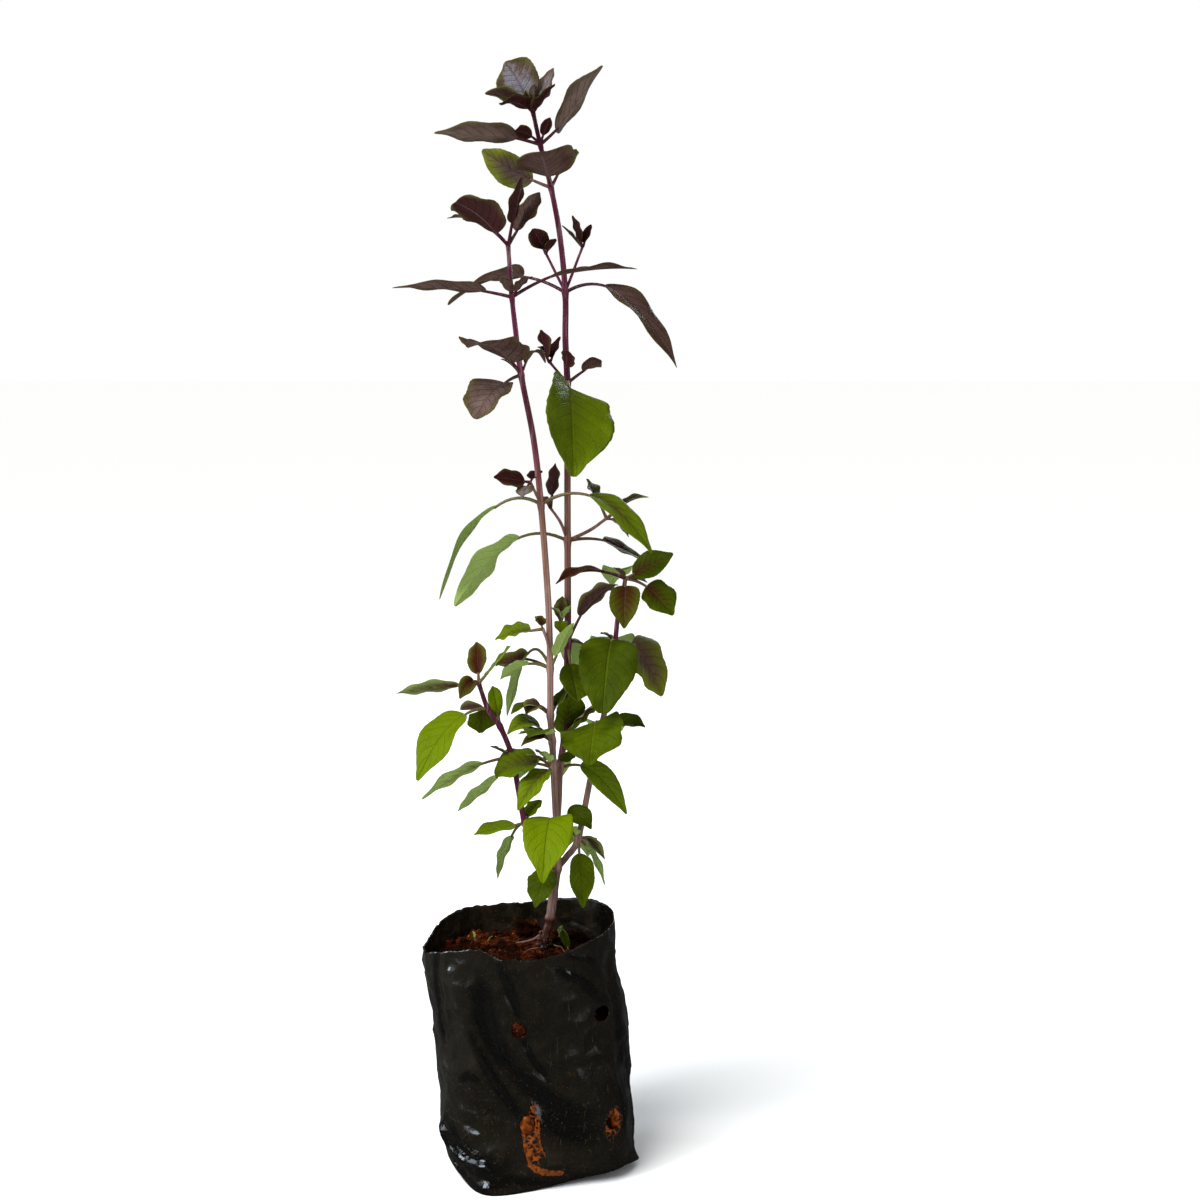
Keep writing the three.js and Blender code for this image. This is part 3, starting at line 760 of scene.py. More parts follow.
soil = {
    "top": 132.0,
    "inset": 1.9,
    "rings": 62,
    "sink": 7.0,  # how much lower it lies at the side walls
    "clods": 300,
    "crumbs": 520,
    "fibres": 420,
    # the clods under the comb of coir, and the clump that is pushed out of the first drain hole:
    # middle and size
    "clumps": [(-6, 20.5, 136, 3.2), (-2, 20, 136.5, 3), (3, 20.5, 136, 3.2), (-6.2, -46.3, 99.2, 2.1),
               (-4.4, -46.5, 98.4, 1.8), (-2.8, -46.2, 96.8, 1.4)],
    # the comb of coir, two long hairs, and the threads that hang out of the first drain hole:
    # middle, how many, spread, way they lean, shortest and longest, radius
    "brushes": [((-2, 20, 138.5), 90, (12, 2, 1.6), (-0.35, -0.1, 1.0), (2.5, 5.5), 0.34),
                ((-6, 20, 139), 2, (2, 1, 1), (-0.1, 0.0, 3.0), (10, 13), 0.2),
                ((-4.2, -46.3, 97), 12, (3, 0.6, 2), (0.5, -0.7, -0.4), (2, 5), 0.2)],
    # middle, half width, half height, seed
    "plugs": [(-0.3, -46.2, 39.6, 4.1, 5.8, 71), (50.0, -33.5, 38.5, 3.6, 6.2, 72),
              (-32, 43, 45, 4.4, 4.4, 73)],
}


def soilHeight(x, y):
    # uneven ground that sinks towards the walls: soft waves, a mound round the stem, and clods
    # that stand out as domes
    flat = np.stack([x, y], -1)
    ground = soil["top"] - 1.6 + 1.3 * waves(flat, 34.0, 31) + 0.6 * waves(flat, 9.0, 32)
    ground = ground + 2.8 * np.exp(-((x - 10) ** 2 + y**2) / 120)
    ground = ground - soil["sink"] * np.abs((x + 4) / 50) ** 3 - 1.5 * np.abs(y / 42) ** 4
    chance = np.random.default_rng(33)
    domes = np.zeros_like(x)
    for _ in range(soil["clods"]):
        cx, cy = chance.uniform(-62, 50), chance.uniform(-44, 44)
        size = chance.uniform(1.4, 5.4)
        gap = ((x - cx) ** 2 + ((y - cy) * chance.uniform(0.8, 1.4)) ** 2) / size**2
        domes = np.maximum(domes, size * 0.66 * np.sqrt(np.clip(1 - gap, 0, 1)))
    return ground + domes * 0.85 + 0.3 * waves(flat, 1.9, 34)


def buildSoil():
    angles = wallAngles(bag["columns"])
    side = bagPoints(angles, np.linspace(0.012, 1, 96), soil["inset"], soil["top"] - 9)
    side[..., 2] = np.maximum(side[..., 2], 1.4 + liftAt(angles) * np.exp(-side[..., 2] / 10))
    # a hollow behind the clean drain hole
    x, z = bag["frontVents"][1]
    hollow = np.exp(-((side[..., 0] - x) ** 2 + (side[..., 2] - z) ** 2) / 40) * (side[..., 1] < 0)
    side[..., 1] += 16 * hollow
    rim = side[-1]
    centre = np.array([-6.0, 0.0, 0.0])
    share = np.linspace(1, 0.012, soil["rings"])[1:, None, None]
    top = centre + (rim - centre) * share
    top[..., 2] = soilHeight(top[..., 0], top[..., 1])
    under = side[0] * [0.5, 0.5, 1] + [5, -1.5, 0]
    under[:, 2] = 1.4
    made = Shells()
    made.loft(np.concatenate([under[None], side, top]), wet=0.0)
    return made


def scatterOn(count, seed):
    # random places on the soil that lie inside the bag
    chance = np.random.default_rng(seed)
    x = chance.uniform(-58, 46, count * 2)
    y = chance.uniform(-40, 40, count * 2)
    inside = (np.abs((x + 6) / 52) ** 2.4 + np.abs(y / 40) ** 2.4) < 1
    x, y = x[inside][:count], y[inside][:count]
    return x, y, soilHeight(x, y), chance


def buildCrumbs():
    made = Shells()
    x, y, z, chance = scatterOn(soil["crumbs"], 41)
    for k in range(len(x)):
        size = chance.uniform(0.5, 1.9) * np.array([1, chance.uniform(0.6, 1), chance.uniform(0.5, 0.9)])
        rings = lumpRings((x[k], y[k], z[k] + size[2] * 0.4), size, 5, 7, 0.25, 1000 + k, 1.6)
        made.loft(rings, wet=chance.uniform(0, 1))
    for k, (cx, cy, cz, size) in enumerate(soil["clumps"]):
        made.loft(lumpRings((cx, cy, cz), (size, 1.6, size), 12, 16, 0.3, 61 + k, 1.6), wet=0.5)
    return made


def buildFibres():
    made = Shells()
    x, y, z, chance = scatterOn(soil["fibres"], 43)
    for k in range(len(x)):
        reach = chance.uniform(3, 11)
        turn = chance.uniform(0, 2 * np.pi)
        rise = chance.uniform(0.2, 2.6)
        t = np.linspace(0, 1, 6)[:, None]
        way = np.array([math.cos(turn), math.sin(turn), 0]) * reach
        bend = np.array([-way[1], way[0], 0]) * chance.uniform(-0.5, 0.5)
        path = np.array([x[k], y[k], z[k] - 0.2]) + way * (t - 0.5) + bend * t * (1 - t)
        path[:, 2] += rise * np.sin(np.pi * t[:, 0]) + chance.uniform(-0.4, 2.0) * t[:, 0] ** 2
        radii = np.linspace(0.16, 0.08, 6) * chance.uniform(0.7, 1.5)
        made.loft(tubeRings(path, radii, 4, reference=(0.3, 0.2, 1)), wet=chance.uniform(0, 1))
    for middle, count, spread, lean, (shortest, longest), radius in soil["brushes"]:
        for _ in range(count):
            start = np.asarray(middle, float) + chance.uniform(-0.5, 0.5, 3) * spread
            way = unit(np.asarray(lean) + chance.normal(0, 0.35, 3)) * chance.uniform(shortest, longest)
            t = np.linspace(0, 1, 5)[:, None]
            path = start + way * t + chance.normal(0, 1.5, 3) * t * (1 - t)
            rings = tubeRings(path, np.linspace(radius, radius * 0.4, 5), 4, reference=(0.9, 0.3, 0.2))
            made.loft(rings, wet=0.1)
    return made


def coirFinish(name, dark, light, bits):
    finish, tree, skin = newFinish(name, shine=0.03)
    where = place(tree)
    specks = useGroup(tree, grit, {"Size": bits, "Specks": 1.0})
    patches = noise(where, 70, 4, 0.6)
    strands = noise(where, 420, 5, 0.7, 1.0)
    wet, = attributes(tree, "wet")
    # the clumps noise lays near-black patches at random: a painted shadow of the hollows between clods
    clumps = noise(where, 55, 3, 0.5, 0.8)
    feed(skin["Base Color"], coats(
        blend(ease(strands * 0.6 + wet * 0.25 + patches, 0.5, 1.15), dark, light),
        (specks["Speck"] * 0.6, rgb(196, 140, 84)),
        (ease(clumps, 0.36, 0.53, 0.0, 0.9), rgb(10, 4, 2)),
    ))
    feed(skin["Roughness"], ease(patches, 0.35, 0.7, 0.62, 0.95))
    feed(skin["Normal"], relief(strands + specks["Height"], 0.0012, 0.8))
    return finish


coir = coirFinish("coirSoil", rgb(11, 4, 1), rgb(88, 35, 13), 1.0)
coirThreads = coirFinish("coirThreads", rgb(38, 13, 5), rgb(120, 60, 26), 1.6)
buildSoil().piece("coir_soil", "potting_soil", "soil", coir)
buildCrumbs().piece("coir_crumbs", "potting_soil", "soil", coir)
buildFibres().piece("coir_fibres", "potting_soil", "soil", coirThreads)


def buildMud():
    # glossy plugs of wet soil that bulge out of the two lower front holes, and a dry one at the back
    made = Shells()
    for x, y, z, wide, high, seed in soil["plugs"]:
        made.loft(lumpRings((x, y, z), (wide, 2.4, high), 26, 32, 0.07, seed), wet=1.0)
    return made


def wetMud():
    finish, tree, skin = newFinish("wetMud", shine=0.25, coat=0.3, coatRough=0.06)
    blots = noise(place(tree), 160, 4, 0.6, 0.8)
    fine = noise(place(tree), 900, 3, 0.6)
    feed(skin["Base Color"], coats(
        blend(ease(blots, 0.35, 0.7), rgb(46, 13, 0), rgb(124, 57, 0)),
        (ease(fine, 0.62, 0.72, 0.0, 0.5), rgb(70, 30, 10)),
    ))
    feed(skin["Roughness"], ease(blots, 0.35, 0.75, 0.12, 0.4))
    feed(skin["Normal"], relief(fine * 0.3 + blots, 0.0012, 0.6))
    return finish


buildMud().piece("vent_mud", "potting_soil", "soil", wetMud())


# Leaves and stems

# each leaf's brightness of green was set one leaf at a time to how light or dark it appeared, so it is
# partly the leaf's own tone and partly painted light and shade
leafTones = {  # how purple, how bright a green, how much painted grey sheen lies on it
    "leafy": (0.0, 0.8, 0.0),
    "green": (0.0, 0.62, 0.0),
    "shade": (0.03, 0.44, 0.0),
    "deep": (0.06, 0.28, 0.0),
    "dim": (0.08, 0.12, 0.0),
    "moss": (0.36, 0.3, 0.0),
    "rust": (0.54, 1.1, 0.5),
    "ochre": (0.16, 0.66, 0.0),
    "ripe": (0.34, 0.5, 0.0),
    "claret": (1.0, 0.35, 0.06),
    "flush": (0.3, 0.66, 0.0),
    "dusk": (0.52, 0.42, 0.0),
    "olive": (0.66, 0.8, 0.25),
    "haze": (0.85, 0.4, 1.0),
    "highlit": (0.74, 0.5, 1.5),
    "plum": (0.95, 0.25, 0.45),
    "wine": (1.1, 0.1, 0.0),
}

# A leaf is its way to the tip, arch, width and tone, then its turn (at the foot and the tip), its
# stalk's share and a shape of its own, where they aren't the usual ones. Leaves are kept by their joint.
stems = [  # node, radius at the foot and at the tip, joints, leaves
    ("main_stem", 0.9, 3.4, [
        (6, 0, 70), (7, -2, 105), (7.8, -3, 133), (9.6, -1.6, 141), (12, 0, 149), (14, 0, 164),
        (16, 0, 181), (16, -1, 194), (16, -1, 203), (16, -1, 211),
    ], {
        (16, 0, 181): [((-12, -24, -18), 7, 19, "deep", (3, -3), 0.34)],
        (16, -1, 194): [((4, 36, -12), 12, 26, "green")],
        (16, -1, 203): [
            ((-7, -41, -21), 21, 30, "leafy", 4, 0.3), ((21, -11, 4), 10, 13, "dim", (49, 43), 0.31),
        ],
    }),
    ("tall_left_stem", 2.1, 1.25, [
        (16, -1.5, 209), (15.4, -3.4, 223), (14.6, -5.4, 243), (14, -8, 259), (13, -10, 275),
        (13, -12, 303), (12, -14, 343), (8, -14, 399), (4, -14, 436), (-3, -14, 473), (-6, -14, 498),
        (-8, -14, 517), (-10, -14, 546),
    ], {
        (14, -6, 243): [
            ((-20, -18, -22), 4, 16, "flush", (-5, -18), 0.1),
            ((-34, 0, -5), 5, 25, "ripe", (-19, -41), 0.25, {"blunt": 0.4}),
            ((-21, 33, -14), 8, 22, "green"),
        ],
        (14, -8, 259): [
            ((-26, -11, 6), 9, 13, "flush", -24, 0.27), ((-18, -16, 0), 5, 6, "dusk", -40, 0.22),
            ((-13, -24, 7), 6, 19, "deep", 0, 0.2),
        ],
        (13, -10, 275): [
            ((-23, -9, 2), 6, 13, "moss", -3, 0.22), ((-14, -9, 2), 6, 12, "olive", -20, 0.4),
        ],
        (13, -12, 303): [
            ((-34, 21, -1), 5, 20, "dusk", -21, 0.44), ((-29, -4, -6), 6, 13, "green", (23, 49), 0.42),
            ((-26, 12, -31), 24, 13, "deep", (-27, 21), 0.5), ((14, -14, 29), 1, 12, "green"),
        ],
        (8, -14, 399): [
            ((-61, 22, -59), 24, 14, "green", 2, 0.42), ((64, -20, -27), 18, 18, "flush", (14, 36), 0.43),
        ],
        (-3, -14, 473): [
            ((-25, -19, -25), 5, 33, "haze", -8, 0.36, {"blunt": 0.4}),
            ((-28, -35, 15), 9, 40, "plum", (-3, 5), 0.15), ((14, 6, 6), 10, 12, "plum"),
            ((-12, 4, 9), 2, 8, "plum"),
        ],
        (-8, -14, 517): [
            ((-65, -32, 4), 3, 23, "plum", 14, 0.22), ((72, 14, 16), 8, 20, "plum", 0, 0.3),
            ((-5, -8, 11), 2, 9, "plum"), ((12, -8, 11), 2, 10, "plum"),
        ],
        (-10, -14, 546): [
            ((-28, -25, 22), 3, 26, "claret", (8, 30), 0.2, {"blunt": 0.9}),
            ((18, 6, 30), 0, 18, "plum", (14, 34), 0.26), ((8, -10, 37), 2, 18, "claret", (32, 26), 0.28),
            ((-36, 20, 16), 6, 17, "plum"),
        ],
    }),
    ("tall_left_stem", 1.1, 0.8, [(13, -12, 303), (12, -14, 317), (9, -16, 327)], {
        (9, -16, 327): [((-28, 2, -7), 1, 22, "flush", (-10, -18), 0.25), ((-4, 4, 7), 1, 8, "dusk")],
    }),
    ("tall_left_stem", 0.9, 0.7, [(8, -14, 399), (2, -16, 412)], {
        (2, -16, 412): [
            ((-21, -6, 3), 0, 13, "wine", -45, 0.14), ((-4, -11, -8), 1, 11, "haze", (2, 6), 0.37),
            ((5, 8, 6), 1, 9, "wine"),
        ],
    }),
    ("tall_right_stem", 2.2, 1.25, [
        (16.5, 0, 209), (17.4, 1.6, 222), (18.2, 2.6, 241), (21, 4, 261), (22, 5, 287), (23, 6, 316),
        (23, 6, 347), (23, 6, 376), (23, 5, 418), (23, 4, 468), (22, 4, 493), (22, 3, 520), (19, 1, 552),
        (14, 0, 579), (8, -2, 603), (4, -4, 621),
    ], {
        (19, 3, 241): [((39, -8, -27), 12, 17, "green", (33, 39), 0.29), ((-1, 32, -14), 8, 13, "deep")],
        (21, 4, 261): [((5, -8, 27), 1, 20, "flush", 180, 0.03)],
        (23, 6, 316): [
            ((30, -11, 35), 10, 19, "olive", -20), ((14, 4, -8), 3, 10, "plum"),
            ((6, -16, -33), -4, 22, "shade", (-9, -14), 0.27), ((3, 30, -27), 10, 15, "deep"),
        ],
        (23, 6, 376): [
            ((-65, -27, -36), 19, 26, "green", (20, 70), 0.43), ((46, 22, -14), 6, 14, "dusk", 30, 0.45),
        ],
        (23, 4, 468): [
            ((4, -38, -53), 17, 48, "ochre", (-47, -17), 0.33, {"fold": 0.42}),
            ((4, 37, -44), 6, 22, "deep", 0, 0.22), ((0, -13, 19), 1, 10, "wine", (-45, -34), 0.44),
            ((20, 13, 13), 1, 11, "plum", (-5, 65), 0.47),
        ],
        (22, 3, 520): [
            ((-70, 32, -7), 13, 28, "plum", (-27, -8), 0.35, {"blunt": 0.5}),
            ((64, -24, -44), 21, 21, "plum", 20, 0.35),
        ],
        (14, 0, 579): [
            ((-40, 9, 22), -2, 19, "rust", -100, 0.26, {"blunt": 0.3}),
            ((-5, -42, 16), 2, 35, "plum", (3, 9), 0.23, {"fold": 0.3}), ((14, 24, 24), 2, 16, "olive"),
        ],
        (8, -2, 603): [
            ((-59, -21, 4), 3, 20, "haze", (34, 22), 0.21), ((36, 23, 47), -4, 25, "haze", -50),
            ((-14, -12, 6), 2, 8, "wine", (72, 69), 0.33), ((6, -10, 14), 1, 7, "wine", (-4, -8), 0.28),
        ],
        (4, -4, 621): [
            ((-16, -1, 27), 3, 25, "highlit", (-89, -102), 0.2),
            ((-27, -6, 9), 4, 12, "olive", (30, 30), 0.2), ((12, -2, 24), 0, 13, "haze", (49, 41), 0.26),
            ((13, -13, 14), -1, 16, "wine", (16, 26), 0.1),
            ((-18, -17, 2), 3, 16, "wine", (11, 15), 0.1, {"full": 3.0}),
        ],
    }),
    ("tall_right_stem", 1, 0.7, [(23, 6, 316), (19, 0, 329)], {
        (19, 0, 329): [
            ((1, 2, 15), 0, 9, "dusk"), ((-5, -4, 9), 1, 8, "dusk"), ((6, -4, 10), 1, 8, "green"),
            ((0, -8, -6), 2, 8, "green"),
        ],
    }),
    ("tall_right_stem", 1, 0.7, [(23, 6, 376), (19, 2, 387), (13, 0, 396)], {
        (13, 0, 396): [((3, 2, 26), 0, 13, "wine", (0, -3), 0.27), ((-6, -6, 7), 1, 8, "plum")],
    }),
    ("tall_right_stem", 1.1, 0.8, [(23, 6, 376), (36, 8, 382), (46, 9, 389)], {
        (46, 9, 389): [
            ((-12, 4, 23), 1, 20, "dusk"), ((25, 4, 12), 3, 18, "dusk"), ((13, -6, -11), 3, 9, "olive"),
        ],
    }),
    ("tall_right_stem", 0.9, 0.7, [(23, 4, 468), (13, 2, 480)], {
        (13, 2, 480): [
            ((-5, -6, 19), -3, 13, "wine", (-48, 7), 0.35), ((6, 4, 15), 0, 9, "wine"),
            ((-7, 4, 9), 2, 9, "wine"),
        ],
    }),
    ("tall_right_stem", 0.9, 0.7, [(22, 3, 520), (11, 0, 542)], {
        (11, 0, 542): [
            ((-8, 14, 15), 0, 12, "wine", -24, 0.17), ((6, -7, 8), 1, 6, "wine", (-6, -3), 0.11),
        ],
    }),
    ("tall_right_stem", 0.9, 0.7, [(22, 3, 520), (32, 4, 546)], {
        (32, 4, 546): [
            ((-6, 2, 18), 0, 9, "claret", 44), ((-12, -4, 12), 0, 6, "plum"), ((5, 4, 13), 0, 9, "wine"),
        ],
    }),
    ("lower_right_branch", 2, 1.1, [
        (16.5, 0, 181), (22, 2, 187), (29, 4, 198), (36, 8, 232), (42, 10, 261), (49, 10, 293),
        (51, 8, 315), (53, 6, 335), (57, 4, 354),
    ], {
        (29, 4, 198): [
            ((3, -15, -39), 3, 16, "shade", (-8, -3), 0.27),
            ((16, 10, -16), 5, 7, "dusk", (-5, -71), 0.25), ((6, 26, -18), 5, 15, "deep"),
            ((16, 14, -33), 5, 8, "deep"), ((-6, -6, 9), 2, 9, "green"),
        ],
        (42, 10, 261): [
            ((-6, -40, -12), 15, 40, "shade", (25, 6), 0.45), ((27, -6, 4), 5, 13, "deep", 30),
            ((6, 36, -12), 8, 24, "green"),
        ],
        (51, 8, 315): [
            ((-7.5, -34, -37), 17, 35, "deep", -2, 0.28, {"blunt": 0.6}),
            ((28, 3, -33), 12, 38, "rust", (24, 37), 0.34), ((-2, 38, -30), 12, 28, "deep"),
            ((-9, -4, 6), 2, 7, "dusk"),
        ],
        (57, 4, 354): [
            ((-1, -22, -27), 4, 18, "dusk", (-2, 3), 0.25), ((-41, -14, -2), 6, 21, "wine", (0, 3), 0.31),
            ((28, -1, 15), 0, 18, "moss", 48, 0.15), ((-7, -4, 7), 1, 8, "plum"),
            ((13, -4, -2), 1, 8, "plum"), ((28, -8, -21), 5, 21, "moss", 40, 0.43),
            ((-8, 28, -8), 8, 20, "green"),
        ],
    }),
    ("lower_left_branch", 1.8, 1.3, [
        (14, 0, 160), (5, 4, 183), (-3, 6, 207), (-7, 4, 230), (-10, 2, 248), (-17, -2, 267),
        (-24, -4, 278), (-29, -8, 294),
    ], {
        (-3, 6, 207): [
            ((-30, -11, -5), 0, 17, "leafy", (-9, -13), 0.18),
            ((-17, 10, -38), 9, 11, "green", (16, -7), 0.47), ((10, 8, 12), 2, 13, "green"),
        ],
        (-10, 2, 248): [
            ((-53, -14, -23), 5, 16, "flush", 40, 0.32), ((-34, 15, -37), -3, 14, "green", 18, 0.26),
            ((-13, -4, 7), 1, 7, "plum"),
        ],
        (-17, -2, 267): [((-5, 13, 22), 2, 9, "leafy", -16, 0.26)],
        (-24, -4, 278): [
            ((-40, -23, -39), 12, 27, "leafy", (-2, -28), 0.32),
            ((-18, 23, -5), 1, 12, "olive", (45, 21), 0.12),
            ((-5, 14, -18), 6, 21, "ripe", (171, 178), 0.36),
        ],
        (-29, -8, 294): [
            ((-2, 16, 22), 1, 12, "dusk", (-28, -10), 0.18),
            ((-10, -17, -7), 5, 10, "dusk", (-36, -49), 0.23),
            ((-49, 3, -7), 0, 14, "dusk", (38, 43), 0.22), ((20, -19, 25), 0, 16, "green", 30),
        ],
    }),
]
youngLeaves = {  # small ones between the others at the middle joints
    "tall_left_stem": {
        (14, -8, 259): [((-20, -14, 7), 3, 12, "dusk", 20, 0.2)],
        (14, -6, 243): [
            ((-9, -9, 11), 3, 12, "deep", 0, 0.2, {"blunt": 0.5}), ((-16, -6, 9), 2, 8, "dusk", 10, 0.3),
        ],
        (13, -10, 275): [((12, 6, 16), 2, 12, "dim", 0, 0.2)],
        (4, -4, 621): [((1, -5, 15), 1, 7, "haze", 20, 0.15), ((-4, -6, 11), 2, 6, "olive", 160, 0.15)],
    },
    "tall_right_stem": {
        (21, 4, 261): [((20, -4, 20), 2, 17, "dusk", 170, 0.1)],
        (19, 3, 241): [((7, -8, 12), 2, 9, "deep", 160, 0.2)],
    },
}
sprouts = {  # small leaves on the soil, by their foot
    (-33, 14, 131.5): [((-2, -2, 7), 1, 2.6, "deep", 0, 0.3)],
    (-26, 14, 131.5): [((3, -3, 4), 1, 2, "dim", 20, 0.4)],
    (23, -2, 131): [((-3, -4, 14), 2, 7, "dim", 180, 0.05)],
    (17, 14, 133): [((2, -2, 9), 1, 4, "shade", 0, 0.3)],
}
barkTones = {  # height, then 0 woody brown, 0.25 pinkish grey, 0.5 tan, 0.75 magenta, 1 maroon
    "main_stem": [(125, 0.0), (134, 0.0), (141, 0.06), (149, 0.11), (154, 0.22), (162, 0.25), (211, 0.25)],
    "tall_left_stem": [
        (209, 0.25), (290, 0.3), (343, 0.42), (399, 0.5), (417, 0.66), (473, 0.74), (500, 0.85),
        (546, 1.0),
    ],
    "tall_right_stem": [
        (209, 0.3), (245, 0.5), (262, 0.93), (318, 0.95), (345, 0.52), (400, 0.5), (435, 0.7), (470, 0.9),
        (513, 0.9), (530, 0.77), (572, 0.78), (590, 1.0),
    ],
    "lower_right_branch": [(181, 0.2), (240, 0.3), (290, 0.42), (315, 0.9)],
    "lower_left_branch": [(160, 0.3), (190, 0.6), (210, 0.9), (294, 0.95)],
}
stemShape = {
    "sides": 16,
    "ribs": 0.06,
    "steps": 12,  # rings between two joints
    "knuckle": 0.3,  # how much thicker a joint with leaves is
    "stalkRadius": (1.1, 0.75),
}
leafShape = {
    "bigFrom": 24.0,  # from joint to tip
    # for a small leaf and for a big one: rows along and points across a face, stalk's share, teeth
    "grid": ((30, 15), (58, 25)),
    "stalk": (0.16, 0.24),
    "fold": 0.22,
    "teeth": (6, 11),
    "toothDepth": 0.03,
    "veins": 7,
    "pucker": 0.008,
    "halfThick": (0.4, 0.16, 0.09),  # at the midrib, in the blade, at the rim
}


# rings of old leaf scars on the main stem's foot: height, how much thicker
footRings = [(132, 0.4), (138, 0.3), (144, 0.12), (150, 0.34), (156, 0.1), (164, 0.18)]
roots = [  # paths over the soil, then the radius where each starts and how brown it is
    ([(9, -2, 143), (4, -3, 138.8), (-2, -3, 136.6), (-8, -2, 135.6)], 1.2, 0.16),
    ([(8, -4, 134), (4, -8, 134), (0, -9, 133.5), (-4, -13, 132)], 0.5, 0.2),
    ([(12, -2, 135), (16, -5, 134.5), (19, -6, 134), (21, -10, 132)], 0.45, 0.2),
    ([(10, 1, 136), (13, 7, 133.5), (17, 12, 131)], 0.8, 0.0),
]
footKnobs = [  # middle, size, how brown
    ((6.2, -4.4, 138.6), 1.9, 0.1), ((9.4, -5.4, 137.4), 2.2, 0.03), ((5.4, -5.6, 135.4), 2.3, 0.05),
    ((8.6, -8.2, 134.0), 2.5, 0.0), ((11.6, -4.0, 135.6), 2.4, 0.02), ((6.4, -3.6, 142.2), 1.1, 0.11),
]


def bladeReach(s, width, full, draw, blunt):
    # half width: (1 - |2 s^0.8 - 1|^full)^0.8 of half the width, drawn in towards the tip;
    # more "full" makes a rounder leaf, and "blunt" a rounder tip
    drawn = 1 - draw * np.clip((s - 0.66) / 0.24, 0, 1) ** 2
    return width / 2 * (1 - np.abs(2 * s**0.8 - 1) ** full) ** (0.8 - 0.35 * blunt * s**2) * drawn


def veinPhase(s, v):
    # whole numbers are side veins: they leave the midrib slanting towards the tip, then curve
    return (s - 0.2 * np.abs(v) - 0.12 * v**2) * leafShape["veins"] + 0.12 * np.sign(v)


